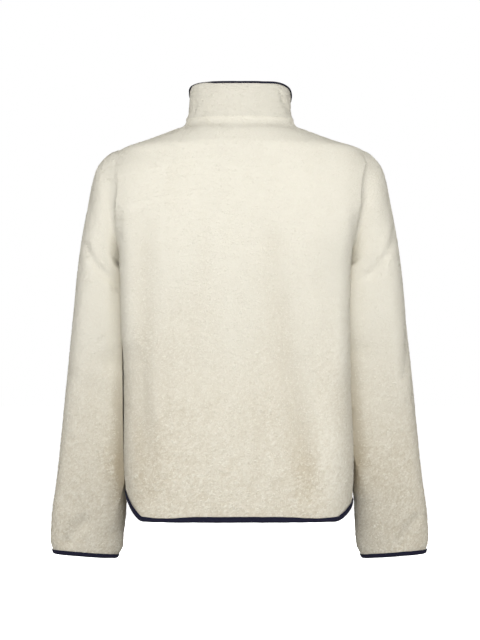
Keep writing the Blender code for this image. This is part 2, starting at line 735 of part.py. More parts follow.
def build_jacket():
    clear_scene()
    back_outer, back_inner = panel_skins(back_grid(), "back", (0, -1))
    add_wall("back", "cream_fleece", back_outer, back_inner)
    fronts = {}
    for side in SIDES:
        fronts[side] = panel_skins(front_grid(side), "front", (0,))
        add_wall(f"front_{side}", "cream_fleece", *fronts[side])
        outer, inner = sleeve_skins(side)
        add_wall(f"sleeve_{side}", "cream_fleece", outer, inner, wraps=True)
        cuff = binding_sections(outer[-1], outer[-2], inner[-1], inner[-2])
        add_loft(f"cuff_binding_{side}", "navy_binding", cuff, closed=True)

    left_outer, left_inner = (skin[:, ::-1] for skin in fronts["left"])
    right_outer, right_inner = fronts["right"]
    outers = (left_outer, back_outer, right_outer)
    inners = (left_inner, back_inner, right_inner)
    hem = binding_sections(
        joined_rows(outers, 0), joined_rows(outers, 1), joined_rows(inners, 0), joined_rows(inners, 1)
    )
    add_loft("hem_binding", "navy_binding", hem)

    collar_outer, collar_inner = collar_skins(joined_rows(outers, -1))
    add_wall("collar", "cream_fleece", collar_outer, collar_inner)
    top = binding_sections(collar_outer[-1], collar_outer[-2], collar_inner[-1], collar_inner[-2])
    add_loft("collar_binding", "navy_binding", top)

    collar = (collar_outer, collar_inner)
    for side, columns in (("left", (0, 1)), ("right", (-1, -2))):
        line = ZipLine(fronts[side], collar, columns)
        add_zip_half(side, line)
    slider_frame = line.frame_at(PARTING_START + SLIDER_ABOVE_PARTING)
    add_pull(slider_frame, add_slider(slider_frame))
    add_bottom_box(line.frame_at(line.edge[1][2]))


build_jacket()
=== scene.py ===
# Fleece zip-up jacket in its worn shape: pile panels, folded bindings and a parted front zip
import math
from collections import namedtuple

import bpy
import numpy as np
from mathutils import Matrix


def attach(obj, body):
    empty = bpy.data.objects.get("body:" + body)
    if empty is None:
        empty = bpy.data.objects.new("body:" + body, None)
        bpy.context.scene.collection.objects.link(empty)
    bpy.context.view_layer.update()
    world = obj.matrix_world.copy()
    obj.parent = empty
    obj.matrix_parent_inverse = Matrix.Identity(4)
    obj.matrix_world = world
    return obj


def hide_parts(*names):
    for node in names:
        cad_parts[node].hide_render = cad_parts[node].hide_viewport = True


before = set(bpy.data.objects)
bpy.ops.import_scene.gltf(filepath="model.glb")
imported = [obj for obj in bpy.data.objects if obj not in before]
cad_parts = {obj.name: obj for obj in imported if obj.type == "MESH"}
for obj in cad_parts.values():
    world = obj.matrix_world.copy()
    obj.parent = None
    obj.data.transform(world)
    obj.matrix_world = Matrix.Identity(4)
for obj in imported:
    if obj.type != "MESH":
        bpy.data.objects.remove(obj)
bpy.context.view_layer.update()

sides = {"left": 1.0, "right": -1.0}

cloth = {
    "wall": 0.003,
    "seam": 0.00006,
    "lap": 0.0003,
    "bindingWidth": 0.007,
    "innerStep": 4,  # the inside has one face for this many of the outside's, each way
    "fineSamples": 700,
}

torso = {
    "hem": -0.6905,
    "armpit": -0.250,
    "shoulder": -0.056,
    "neck": -0.004,
    "armholeBack": 0.095,
    "armholeFront": 0.085,
    "hemLift": {"left": 0.039, "right": 0.024},
    "hemLiftReach": 0.150,
    "hemLiftStart": 0.84,  # of the half-width
    "hemLiftPower": 1.8,
    "rowsBelow": 156,
    "rowsArmhole": 80,
    "rowsAbove": 36,
    "backColumns": 168,
    "frontColumns": 84,
    "frontEdge": 0.007,
    "partingStart": -0.122,
    "openAtTop": {"left": 0.011, "right": 0.018},
    "collarFrontTop": -0.014,
}
armholeMiddle = (torso["shoulder"] + torso["armpit"]) / 2
armholeHalf = (torso["shoulder"] - torso["armpit"]) / 2

torsoRow = namedtuple("torsoRow", "level backZ frontZ left right back front power")
torsoRows = (
    torsoRow(-0.6905, -0.6905, -0.6905, 0.194, 0.193, 0.128, 0.131, 4.0),
    torsoRow(-0.600, -0.600, -0.600, 0.200, 0.196, 0.130, 0.136, 4.3),
    torsoRow(-0.450, -0.450, -0.450, 0.201, 0.190, 0.129, 0.139, 4.5),
    torsoRow(-0.330, -0.330, -0.332, 0.201, 0.182, 0.134, 0.141, 4.5),
    torsoRow(-0.250, -0.250, -0.262, 0.2035, 0.186, 0.137, 0.139, 4.3),
    torsoRow(-0.195, -0.194, -0.219, 0.2185, 0.207, 0.135, 0.132, 4.1),
    torsoRow(-0.150, -0.148, -0.184, 0.2280, 0.225, 0.130, 0.124, 3.9),
    torsoRow(-0.092, -0.088, -0.138, 0.2230, 0.228, 0.117, 0.109, 3.4),
    torsoRow(-0.070, -0.065, -0.119, 0.2130, 0.219, 0.109, 0.102, 3.0),
    torsoRow(-0.056, -0.050, -0.108, 0.201, 0.206, 0.104, 0.098, 2.8),
    torsoRow(-0.043, -0.038, -0.098, 0.165, 0.165, 0.096, 0.094, 2.6),
    torsoRow(-0.030, -0.026, -0.090, 0.131, 0.131, 0.087, 0.089, 2.4),
    torsoRow(-0.021, -0.017, -0.084, 0.110, 0.109, 0.079, 0.085, 2.2),
    torsoRow(-0.013, -0.009, -0.079, 0.098, 0.099, 0.072, 0.081, 2.1),
    torsoRow(-0.004, -0.003, -0.073, 0.090, 0.091, 0.066, 0.077, 2.0),
)

# Soft folds as seen from the back or the front; width is their softness, and a ridge has a positive depth
torsoFold = namedtuple("torsoFold", "face topX topZ footX footZ depth width")
torsoFolds = (
    torsoFold("back", 0.157, -0.190, 0.171, -0.530, -0.0052, 0.020),
    torsoFold("back", 0.189, -0.170, 0.190, -0.380, 0.0070, 0.016),
    torsoFold("back", -0.182, -0.180, -0.172, -0.440, 0.0090, 0.018),
    torsoFold("back", -0.054, -0.220, -0.080, -0.437, -0.0050, 0.022),
    torsoFold("back", -0.084, -0.430, -0.117, -0.630, -0.0090, 0.025),
    torsoFold("back", -0.142, -0.500, -0.160, -0.665, 0.0060, 0.024),
    torsoFold("back", 0.125, -0.400, 0.128, -0.540, -0.0022, 0.012),
    torsoFold("back", 0.175, -0.430, 0.160, -0.640, -0.0080, 0.028),
    torsoFold("back", -0.027, -0.490, -0.030, -0.665, -0.0018, 0.014),
    torsoFold("back", 0.010, -0.030, 0.085, -0.060, 0.0015, 0.014),
    torsoFold("front", 0.130, -0.200, 0.150, -0.480, -0.0050, 0.020),
    torsoFold("front", -0.120, -0.230, -0.150, -0.520, -0.0050, 0.020),
    torsoFold("front", 0.070, -0.470, 0.110, -0.640, 0.0040, 0.024),
    torsoFold("front", -0.060, -0.500, -0.085, -0.650, 0.0040, 0.024),
    torsoFold("front", 0.160, -0.270, 0.090, -0.340, -0.0030, 0.020),
    torsoFold("front", -0.160, -0.275, -0.100, -0.355, -0.0030, 0.021),
    torsoFold("front", 0.045, -0.130, 0.085, -0.260, -0.0020, 0.016),
)


def eased(keys, values, at):
    # a cubic through the values that adds no bumps of its own
    keys = np.array(keys, dtype=float)
    values = np.array(values, dtype=float)
    secants = np.diff(values) / np.diff(keys)
    slopes = np.concatenate([[secants[0]], (secants[1:] + secants[:-1]) / 2, [secants[-1]]])
    for i in range(1, len(keys) - 1):
        low, high = secants[i - 1], secants[i]
        if low * high <= 0:
            slopes[i] = 0.0
        else:
            limit = 3 * min(abs(low), abs(high))
            slopes[i] = math.copysign(min(abs(slopes[i]), limit), slopes[i])
    i = int(np.clip(np.searchsorted(keys, at) - 1, 0, len(keys) - 2))
    step = keys[i + 1] - keys[i]
    t = min(max((at - keys[i]) / step, 0.0), 1.0)
    return float(
        values[i] * (1 + 2 * t) * (1 - t) ** 2
        + slopes[i] * step * t * (1 - t) ** 2
        + values[i + 1] * t * t * (3 - 2 * t)
        - slopes[i + 1] * step * t * t * (1 - t)
    )


def rowAt(table, at):
    keys = [row[0] for row in table]
    return type(table[0])(*(eased(keys, column, at) for column in zip(*table)))


def runAlong(line):
    # the length from a line's start to each of its points
    return np.concatenate([[0.0], np.cumsum(np.linalg.norm(np.diff(line, axis=0), axis=1))])


def placed(wanted, run, values):
    # what a line's values are at the wanted lengths along it
    return np.stack([np.interp(wanted, run, values[:, k]) for k in range(3)], axis=1)


def evenly(points, count):
    points = np.array(points)
    run = runAlong(points)
    return placed(np.linspace(0.0, run[-1], count + 1), run, points)


def limited(share):
    return np.clip(share, 0.0, 1.0)


def smoothed(share):
    return share * share * (3 - 2 * share)


def fromSegment(places, start, end):
    # how far along a straight fold each place is, and how far away from it
    start = np.array(start)
    run = np.array(end) - start
    offset = places - start
    share = limited(offset @ run / (run @ run))
    return share, np.linalg.norm(offset - share[..., None] * run, axis=-1)


def unit(vectors):
    lengths = np.linalg.norm(vectors, axis=-1, keepdims=True)
    return vectors / np.maximum(lengths, 1e-12)


def without(vectors, axis):
    axis = unit(np.array(axis, dtype=float))
    return unit(vectors - np.sum(vectors * axis, axis=-1, keepdims=True) * axis)


def armholeDepth(level, face):
    height = (level - armholeMiddle) / armholeHalf
    reach = torso["armholeBack"] if face == "back" else torso["armholeFront"]
    return reach * math.sqrt(max(0.0, 1.0 - height * height))


def parting(z, side):
    share = (z - torso["partingStart"]) / (torso["collarFrontTop"] - torso["partingStart"])
    return torso["openAtTop"][side] * min(max(share, 0.0), 1.0)


def torsoQuarter(level, side, face, inset=0.0):
    row = rowAt(torsoRows, level)
    depth = getattr(row, face)
    middleZ = getattr(row, face + "Z")
    width = getattr(row, side)
    start = 0.0
    if torso["armpit"] < level < torso["shoulder"]:
        start = math.asin((armholeDepth(level, face) / depth) ** (row.power / 2))
    edgeX = 0.0
    if face == "front":
        edgeX = torso["frontEdge"] + parting(middleZ, side)
    end = math.acos((edgeX / width) ** (row.power / 2))
    angles = np.linspace(start, end, cloth["fineSamples"])
    x = width * np.cos(angles) ** (2 / row.power)
    share = np.sin(angles) ** (2 / row.power)
    z = level + (middleZ - level) * share**2
    reach = max(0.0, 1.0 - (level - torso["hem"]) / torso["hemLiftReach"])
    corner = limited((x / width - torso["hemLiftStart"]) / (1.0 - torso["hemLiftStart"]))
    z = z + torso["hemLift"][side] * reach**2 * corner ** torso["hemLiftPower"]
    facing = 1.0 if face == "back" else -1.0
    y = facing * (depth * share + cloth["seam"] / 2)
    return np.stack([sides[side] * (x - inset), y, z], axis=1)


def torsoLevels():
    below = np.linspace(torso["hem"], torso["armpit"], torso["rowsBelow"] + 1)
    share = np.linspace(0.0, 1.0, torso["rowsArmhole"] + 1)
    # closer rows at the armhole's foot and top, where its edge runs level
    height = 0.5 - 0.5 * (0.6 * np.cos(math.pi * share) + 0.4 * (1 - 2 * share))
    armhole = torso["armpit"] + (torso["shoulder"] - torso["armpit"]) * height
    above = np.linspace(torso["shoulder"], torso["neck"], torso["rowsAbove"] + 1)
    return np.concatenate([below, armhole[1:], above[1:]])


def insetAt(level):
    isArmhole = torso["armpit"] - cloth["seam"] < level < torso["shoulder"] + cloth["seam"]
    return cloth["seam"] / 2 if isArmhole else 0.0


def backGrid():
    rows = []
    for level in torsoLevels():
        inset = insetAt(level)
        left = torsoQuarter(level, "left", "back", inset)
        right = torsoQuarter(level, "right", "back", inset)
        rows.append(evenly(np.concatenate([left, right[::-1][1:]]), torso["backColumns"]))
    return np.array(rows)


def frontGrid(side):
    rows = [torsoQuarter(level, side, "front", insetAt(level)) for level in torsoLevels()]
    return np.array([evenly(row, torso["frontColumns"]) for row in rows])


def gridNormals(grid, outward, wraps=False):
    if wraps:
        across = np.roll(grid, -1, axis=1) - np.roll(grid, 1, axis=1)
    else:
        across = np.gradient(grid, axis=1)
    normals = unit(np.cross(across, np.gradient(grid, axis=0)))
    turned = np.sum(normals * outward, axis=2, keepdims=True) < 0
    return np.where(turned, -normals, normals)


def foldHeight(points, face):
    total = np.zeros(points.shape[:2])
    for fold in torsoFolds:
        if fold.face != face:
            continue
        share, away = fromSegment(points[..., [0, 2]], (fold.topX, fold.topZ), (fold.footX, fold.footZ))
        taper = np.sin(math.pi * (0.15 + 0.7 * share))
        total += fold.depth * taper * np.exp(-((away / fold.width) ** 2))
    return total


def edgeDistance(grid, wraps=False):
    # along the cloth to the nearest side edge, the foot and the head of a panel
    up = np.linalg.norm(np.diff(grid, axis=0), axis=2)
    fromFoot = np.concatenate([np.zeros((1, grid.shape[1])), np.cumsum(up, axis=0)])
    fromHead = fromFoot[-1] - fromFoot
    if wraps:
        far = np.full(grid.shape[:2], 1.0)
        return far, fromFoot, fromHead
    across = np.linalg.norm(np.diff(grid, axis=1), axis=2)
    fromLeft = np.concatenate([np.zeros((grid.shape[0], 1)), np.cumsum(across, axis=1)], axis=1)
    fromRight = fromLeft[:, -1:] - fromLeft
    return (fromLeft, fromRight), fromFoot, fromHead


pile = {
    "curlSize": 0.0046,
    "curlHeight": 0.0012,
    "tuftSize": 0.013,
    "tuftHeight": 0.0001,
    "shoulderShare": 0.40,
    "patchSize": 0.055,
    "patchShare": 0.20,
    "standsUp": {"torso": (-0.12, -0.84), "sleeve": (-0.26, -0.72)},  # heights from flat to full
    "sunk": 0.0009,  # the ground cloth lies below the form, which the curls' tips fill out
    "foldPaintedShade": 28.0,  # painted shade darkening a trough and painted light on a ridge, per metre of depth
    "underBinding": 0.0012,
    "overBinding": 0.0018,
    "napFade": 0.0015,
    "salt": 11,
}


def hashed(cells, salt):
    # a repeatable random value in 0..1 for each whole-number cell
    mixed = cells[..., 0] * 73856093 ^ cells[..., 1] * 19349663 ^ cells[..., 2] * 83492791
    mixed = (mixed + salt * 974711) & 0x7FFFFFFF
    mixed = (mixed ^ (mixed >> 13)) * 1274126177 & 0x7FFFFFFF
    mixed = (mixed ^ (mixed >> 16)) * 668265263 & 0x7FFFFFFF
    return (mixed & 0xFFFFFF) / float(0xFFFFFF)


def domes(points, size, salt):
    # rounded cells with dark gaps between them, 0 in the gaps and 1 on top
    scaled = points.reshape(-1, 3) / size
    cell = np.floor(scaled).astype(np.int64)
    nearest = np.full(len(scaled), 9.0)
    second = np.full(len(scaled), 9.0)
    height = np.zeros(len(scaled))
    for dx in (-1, 0, 1):
        for dy in (-1, 0, 1):
            for dz in (-1, 0, 1):
                other = cell + np.array([dx, dy, dz])
                jitter = np.stack([hashed(other, salt + k) for k in range(3)], axis=1)
                away = np.linalg.norm(other + jitter - scaled, axis=1)
                closer = away < nearest
                second = np.where(closer, nearest, np.minimum(second, away))
                height = np.where(closer, hashed(other, salt + 7), height)
                nearest = np.where(closer, away, nearest)
    edge = limited((second - nearest) / 0.45)
    dome = np.sqrt(edge) * (1.0 - 0.55 * nearest) * (0.6 + 0.4 * height)
    return dome.reshape(points.shape[:-1])


def softNoise(points, size, salt):
    # smooth value noise in -1..1
    scaled = points.reshape(-1, 3) / size
    cell = np.floor(scaled).astype(np.int64)
    part = smoothed(scaled - cell)
    total = np.zeros(len(scaled))
    for dx in (0, 1):
        for dy in (0, 1):
            for dz in (0, 1):
                corner = np.array([dx, dy, dz])
                weight = np.prod(np.where(corner == 1, part, 1 - part), axis=1)
                total += weight * hashed(cell + corner, salt)
    return (total * 2 - 1).reshape(points.shape[:-1])


def fullness(points, kind="torso"):
    # the nap lies flat over the shoulders and stands up more towards the hem and cuffs, and in the colour
    # this lets more painted shade show lower down
    flat, full = pile["standsUp"][kind]
    height = limited((points[..., 2] - flat) / (full - flat))
    # and is uneven, in patches longer down the cloth than across it
    patches = softNoise(points * np.array([1.0, 1.0, 0.45]), pile["patchSize"], pile["salt"] + 60)
    small = pile["patchSize"] * 0.35
    patches += 0.5 * softNoise(points * np.array([1.0, 1.0, 0.35]), small, pile["salt"] + 63)
    return limited(smoothed(height) + pile["patchShare"] * patches)


def pileHeight(points):
    salt = pile["salt"]
    wobble = np.stack([softNoise(points, 0.006, salt + 20 + k) for k in range(3)], axis=-1) * 0.0012
    curls = domes(points + wobble, pile["curlSize"], salt) - 0.5
    tufts = softNoise(points, pile["tuftSize"], salt + 40)
    share = pile["shoulderShare"] + (1.0 - pile["shoulderShare"]) * fullness(points)
    return (pile["curlHeight"] * curls + pile["tuftHeight"] * tufts) * share - pile["sunk"]


def stripTriangles(dense, coarse, step):
    # joins a run of close points to a run with one point for every step of them
    triangles = []
    for j in range(len(coarse) - 1):
        half = j * step + step // 2
        for i in range(j * step, half):
            triangles.append((dense[i], dense[i + 1], coarse[j]))
        triangles.append((dense[half], coarse[j + 1], coarse[j]))
        for i in range(half, (j + 1) * step):
            triangles.append((dense[i], dense[i + 1], coarse[j + 1]))
    return np.array(triangles)


def gridQuads(number, wraps=False):
    right = np.roll(number, -1, axis=1)
    if not wraps:
        number, right = number[:, :-1], right[:, :-1]
    quads = np.stack([number[:-1], right[:-1], right[1:], number[1:]], axis=-1)
    return quads.reshape(-1, 4)


def addObject(name, data):
    made = bpy.data.objects.new(name, data)
    bpy.context.collection.objects.link(made)
    return made


def meshFrom(name, points, quads, triangles):
    mesh = bpy.data.meshes.new(name)
    loops = np.concatenate([quads.reshape(-1), triangles.reshape(-1)]).astype(np.int32)
    sizes = np.concatenate([np.full(len(quads), 4), np.full(len(triangles), 3)])
    starts = np.concatenate([[0], np.cumsum(sizes)[:-1]]).astype(np.int32)
    mesh.vertices.add(len(points))
    mesh.vertices.foreach_set("co", np.asarray(points, dtype=np.float32).reshape(-1))
    mesh.loops.add(len(loops))
    mesh.loops.foreach_set("vertex_index", loops)
    mesh.polygons.add(len(sizes))
    mesh.polygons.foreach_set("loop_start", starts)
    mesh.update(calc_edges=True)
    mesh.validate()
    mesh.shade_smooth()
    mesh.set_sharp_from_angle(angle=math.radians(62))
    return addObject(name, mesh)


def channelCaps(number):
    # closes both ends of a channel or flat strip, leg by leg
    last = number.shape[1] - 1
    caps = []
    for k in range(number.shape[1] // 2 - 1):
        for end, turn in ((number[0], 1), (number[-1], -1)):
            caps.append([end[j] for j in (k, k + 1, last - k - 1, last - k)[::turn]][::-1])
    return np.array(caps)


def stripFrom(name, sections, closed):
    # a strip through lines that run along it
    grid = np.stack(sections, axis=1)
    number = np.arange(grid.shape[0] * grid.shape[1]).reshape(grid.shape[:2])
    if closed:
        ends = np.stack([number[-1], np.roll(number[-1], -1), np.roll(number[0], -1), number[0]], axis=-1)
    else:
        ends = channelCaps(number)
    quads = np.concatenate([gridQuads(number, True), ends])
    points = grid.reshape(-1, 3)
    triangles = np.zeros((0, 3), dtype=int)
    if signedVolume(points - points.mean(axis=0), quads, triangles) < 0:
        quads = quads[:, ::-1]
    return meshFrom(name, points, quads, triangles)


def signedVolume(points, quads, triangles):
    total = 0.0
    for faces in (quads[:, [0, 1, 2]], quads[:, [0, 2, 3]], triangles):
        if len(faces):
            a, b, c = (points[faces[:, k]] for k in range(3))
            total += float(np.sum(a * np.cross(b, c)))
    return total


def addShell(name, outer, inner, shade, nap, wraps=False):
    # a closed wall between a fine outer skin and an inner skin with fewer points
    step = cloth["innerStep"]
    rows, columns = outer.shape[:2]
    coarse = inner[::step, ::step]
    points = np.concatenate([outer.reshape(-1, 3), coarse.reshape(-1, 3)])
    number = np.arange(rows * columns).reshape(rows, columns)
    back = rows * columns + np.arange(coarse.shape[0] * coarse.shape[1]).reshape(coarse.shape[:2])
    quads = np.concatenate([gridQuads(number, wraps), gridQuads(back, wraps)[:, ::-1]])
    if wraps:
        closed = [np.append(line, line[0]) for line in (number[0], back[0], number[-1], back[-1])]
        triangles = [
            stripTriangles(closed[0], closed[1], step)[:, ::-1],
            stripTriangles(closed[2], closed[3], step),
        ]
    else:
        triangles = [
            stripTriangles(number[0], back[0], step)[:, ::-1],
            stripTriangles(number[-1], back[-1], step),
            stripTriangles(number[:, 0], back[:, 0], step),
            stripTriangles(number[:, -1], back[:, -1], step)[:, ::-1],
        ]
    triangles = np.concatenate(triangles)
    if signedVolume(points, quads, triangles) < 0:
        quads, triangles = quads[:, ::-1], triangles[:, ::-1]
    piece = meshFrom(name, points, quads, triangles)
    behind = coarse.shape[0] * coarse.shape[1]
    # pileHeight holds the painted shade for the pile's colour, with a plain middle value on the inside skin
    values = {
        "pileHeight": np.append(shade, np.full(behind, 0.6)),
        "napShare": np.append(nap, np.zeros(behind)),
        "napFullnessShade": fullness(points, "sleeve" if wraps else "torso"),
    }
    for label, value in values.items():
        kept = piece.data.attributes.new(label, "FLOAT", "POINT")
        kept.data.foreach_set("value", value.astype(np.float32))
    return piece


def shadeOf(relief):
    # painted shade: lower where the pile's relief sinks between its curls
    return limited(0.5 + (relief + pile["sunk"]) / (2.0 * pile["curlHeight"]))


panel = {
    "foldFade": 0.03,  # folds end this near to a panel's edges
    "plainEdge": 0.05,  # the neck seam is plain this near to the zip
    "seamFade": 0.02,
    "shadedFold": (-0.010, 0.004),
    "steepest": 0.85,  # the hem's slant at its corners counts up to this rise
}

# how deep the seams lie in the pile (or how far they fill out, below nothing) and how widely
seams = {
    "side": (0.0006, 0.0045),
    "armholeTop": (-0.0004, 0.0090),
    "armholeFoot": (-0.0010, 0.0090),
    "neck": (-0.0022, 0.0052),  # a rounded ridge
    "underCollar": (0.0030, 0.0140, 0.0100),
    "turn": 0.009,
}


def hollow(depth, softness, distance):
    return -depth * np.exp(-((distance / softness) ** 2))


def armholeHollow(seamZ, distance):
    # faint over the shoulder and deep towards the armpit, where it ends
    share = limited((torso["shoulder"] - seamZ) / (torso["shoulder"] - torso["armpit"]))
    share = share**1.5
    depth, softness = (
        top + (foot - top) * share for top, foot in zip(seams["armholeTop"], seams["armholeFoot"])
    )
    ending = limited((seamZ - torso["armpit"]) / panel["seamFade"])
    return hollow(depth * ending, softness, distance)


def turnedTo(normals, target, distance):
    share = np.exp(-((distance / seams["turn"]) ** 2))[..., None]
    return unit(normals * (1 - share) + unit(target) * share)


def fromArmholeMiddle(points):
    away = points - np.array([0.0, 0.0, armholeMiddle])
    away[..., 0] = 0.0
    return away


def fromNeckMiddle(points):
    away = points - np.array([0.0, -0.005, 0.0])
    away[..., 2] = 0.0
    return away


binding = {
    "thickness": 0.0010,
    "swell": 0.0004,  # how far its folded edge rounds out
    "pucker": 0.00035,
    "puckerLength": 0.013,
    "spacing": 0.0022,
    "hemShare": 1.28,  # of its full width, on the outside
    "hemLeast": 0.86,
    "cuffShare": 1.04,
    "collarShare": 0.34,
    "collarLeast": 0.08,
    "gripped": 0.0005,  # the strip's edge presses the pile this far in, and it rises over the fade
    "fade": 0.002,
    "stitchPitch": 0.0038,
    "stitchStart": 0.002,
    # places from the centre where the nap hangs further over the hem's strip, and where its corners start
    "hemNarrow": {"at": 0.130, "over": 0.034},
    "hemCorner": {"at": 0.165, "over": 0.015, "more": 0.2},
    "collarNarrow": {"x": 0.040, "y": -0.030, "over": 0.020},
}


def bindingRamp(distance, width):
    # 0 under a binding, 1 on the free cloth beyond it
    return limited((distance - width + binding["gripped"]) / binding["fade"])


def napRamp(distance, width):
    # the nap hangs over the binding's edge a little
    return limited((distance - width + pile["overBinding"]) / pile["napFade"])


def hemBindingShare(edge):
    # the nap hangs further over the binding a little way in from the hem's corners
    narrow, corner = binding["hemNarrow"], binding["hemCorner"]
    aside = np.abs(edge[:, 0])
    less = np.exp(-(((aside - narrow["at"]) / narrow["over"]) ** 2))
    more = corner["more"] * limited((aside - corner["at"]) / corner["over"])
    return binding["hemShare"] * (1 + more) + (binding["hemLeast"] - binding["hemShare"]) * less


def cladded(base, depth, directions, fromEdge, width):
    # the ground cloth with its seams let in, its pile's relief and its outer skin
    ramp = bindingRamp(fromEdge, width)
    base = base + (depth * ramp)[..., None] * directions
    relief = pileHeight(base) * ramp - pile["underBinding"] * (1 - ramp)
    return base, relief, base + relief[..., None] * directions


def finishPanel(name, grid, face, sideColumns):
    facing = 1.0 if face == "back" else -1.0
    outward = np.stack(
        [np.sign(grid[..., 0]), np.full(grid.shape[:2], facing), np.full(grid.shape[:2], 0.4)], axis=-1
    )
    normals = gridNormals(grid, outward)
    (fromLeft, fromRight), fromFoot, fromHead = edgeDistance(grid)
    nearest = np.minimum(fromLeft, fromRight)
    fade = limited(np.minimum(np.minimum(nearest, fromHead), fromFoot) / panel["foldFade"])
    folds = foldHeight(grid, face) * fade**0.5
    base = grid + folds[..., None] * normals
    directions = turnedTo(normals, fromNeckMiddle(base), fromHead)
    level = torsoLevels()[:, None]
    isHole = (level > torso["armpit"]) & (level < torso["shoulder"])
    plain = limited(fromRight / panel["plainEdge"]) if face == "front" else 1.0
    depth = hollow(*seams["neck"], fromHead) * plain
    for column in sideColumns:
        distance = fromLeft if column == 0 else fromRight
        seamZ = grid[:, column, 2][:, None]
        directions = np.where(
            isHole[..., None], turnedTo(directions, fromArmholeMiddle(base), distance), directions
        )
        below = limited((torso["armpit"] - level) / panel["seamFade"])
        above = limited((level - torso["shoulder"]) / panel["seamFade"])
        depth += np.where(isHole, armholeHollow(seamZ, distance), 0.0)
        depth += hollow(*seams["side"], distance) * (below + 0.5 * above)
        normals[:, column] = without(normals[:, column], (0, 1, 0))
        directions[:, column] = np.where(isHole, directions[:, column], normals[:, column])
    if face == "front":
        normals[:, -1] = without(normals[:, -1], (1, 0, 0))
        directions[:, -1] = normals[:, -1]
    under, centre, softness = seams["underCollar"]
    depth += hollow(under, softness, fromHead - centre) * limited(fromHead / 0.005) * plain
    # up the panel the strip is wider where the hem runs aslant
    rise = np.abs(unit(np.gradient(grid[0], axis=0))[:, 2])
    slant = np.sqrt(1.0 - np.minimum(rise, panel["steepest"]) ** 2)
    width = cloth["bindingWidth"] * hemBindingShare(grid[0]) / slant
    base, relief, outer = cladded(base, depth, directions, fromFoot, width)
    inner = base - cloth["wall"] * normals
    # painted shade in the folds' troughs and painted light on their ridges, added to the shade between the
    # curls
    shade = shadeOf(relief) + pile["foldPaintedShade"] * np.clip(folds, *panel["shadedFold"])
    return addShell(name, outer, inner, shade, napRamp(fromFoot, width)), base, normals


sleeve = {
    "around": 136,
    "rings": 248,
    "length": 0.744,
    "seamInfluence": 0.060,
    "elbowGirth": 0.36,
}

sleeveRow = namedtuple("sleeveRow", "along outerX outerZ leftX rightX innerZ middleY halfDepth power")
sleeveRows = (
    sleeveRow(0.000, 0.202, -0.056, 0.2035, 0.1860, -0.250, 0.002, 0.073, 2.0),
    sleeveRow(0.030, 0.224, -0.064, 0.2055, 0.1885, -0.253, 0.001, 0.076, 2.1),
    sleeveRow(0.060, 0.244, -0.085, 0.2055, 0.1880, -0.257, 0.000, 0.078, 2.2),
    sleeveRow(0.090, 0.2535, -0.112, 0.2050, 0.1875, -0.261, -0.002, 0.079, 2.3),
    sleeveRow(0.130, 0.261, -0.150, 0.2045, 0.1870, -0.266, -0.004, 0.080, 2.35),
    sleeveRow(0.190, 0.272, -0.209, 0.2040, 0.1865, -0.274, -0.006, 0.079, 2.8),
    sleeveRow(0.250, 0.280, -0.266, 0.2035, 0.1855, -0.294, -0.008, 0.077, 2.8),
    sleeveRow(0.320, 0.287, -0.336, 0.2025, 0.1850, -0.352, -0.011, 0.074, 2.8),
    sleeveRow(0.445, 0.300, -0.458, 0.2025, 0.1930, -0.469, -0.020, 0.064, 2.8),
    sleeveRow(0.610, 0.318, -0.624, 0.2020, 0.1985, -0.634, -0.033, 0.047, 2.8),
    sleeveRow(0.675, 0.327, -0.686, 0.2005, 0.2000, -0.697, -0.038, 0.038, 2.8),
    sleeveRow(0.720, 0.330, -0.733, 0.2020, 0.2035, -0.743, -0.041, 0.030, 2.3),
    sleeveRow(0.744, 0.3240, -0.757, 0.2135, 0.2140, -0.765, -0.043, 0.0265, 2.3),
)

# turn runs from the sleeve's outer line (0) over its back (0.25), inner line (0.5) and front (0.75)
sleeveFold = namedtuple("sleeveFold", "side turnStart alongStart turnEnd alongEnd depth width")
sleeveFolds = (
    sleeveFold("left", 0.175, 0.202, 0.375, 0.262, -0.0036, 0.012),
    sleeveFold("right", 0.105, 0.180, 0.27, 0.236, -0.0032, 0.012),
    sleeveFold("left", 0.32, 0.400, 0.62, 0.420, -0.0026, 0.018),
    sleeveFold("right", 0.34, 0.380, 0.66, 0.410, -0.0030, 0.018),
    sleeveFold("left", 0.68, 0.300, 0.92, 0.360, -0.0050, 0.018),
    sleeveFold("right", 0.66, 0.320, 0.90, 0.365, -0.0050, 0.018),
    sleeveFold("left", 0.10, 0.430, 0.30, 0.460, -0.0014, 0.016),
    sleeveFold("right", 0.06, 0.340, 0.14, 0.430, -0.0030, 0.013),
    sleeveFold("left", 0.23, 0.685, 0.15, 0.722, -0.0036, 0.011),
    sleeveFold("right", 0.13, 0.685, 0.21, 0.722, -0.0036, 0.011),
    sleeveFold("left", 0.44, 0.020, 0.44, 0.090, 0.0060, 0.020),
    sleeveFold("right", 0.44, 0.020, 0.44, 0.090, 0.0060, 0.020),
    sleeveFold("left", 0.39, 0.180, 0.41, 0.330, 0.0060, 0.022),
    sleeveFold("right", 0.39, 0.180, 0.41, 0.360, 0.0060, 0.022),
    sleeveFold("left", 0.80, 0.620, 0.70, 0.700, -0.0030, 0.012),
    sleeveFold("right", 0.82, 0.640, 0.72, 0.700, -0.0030, 0.012),
)


def armholeLoop(side, count):
    half = count // 2
    levels = armholeMiddle + armholeHalf * np.cos(np.linspace(0.0, math.pi, 400))
    halves = []
    for face in ("back", "front"):
        line = np.array([torsoQuarter(level, side, face, -cloth["seam"] / 2)[0] for level in levels])
        line[0, 1] = line[-1, 1] = 0.0
        halves.append(line)
    back = turnsOf(halves[0], half)
    front = turnsOf(halves[1], half)
    return np.concatenate([back[:-1], front[::-1][:-1]])


def turnsOf(line, count):
    # points whose turn about the loop's middle grows evenly, as on the sleeve's rings
    turn = np.arccos(np.clip((line[:, 2] - armholeMiddle) / armholeHalf, -1, 1))
    turn[0], turn[-1] = 0.0, math.pi
    return placed(np.linspace(0.0, math.pi, count + 1), turn, line)


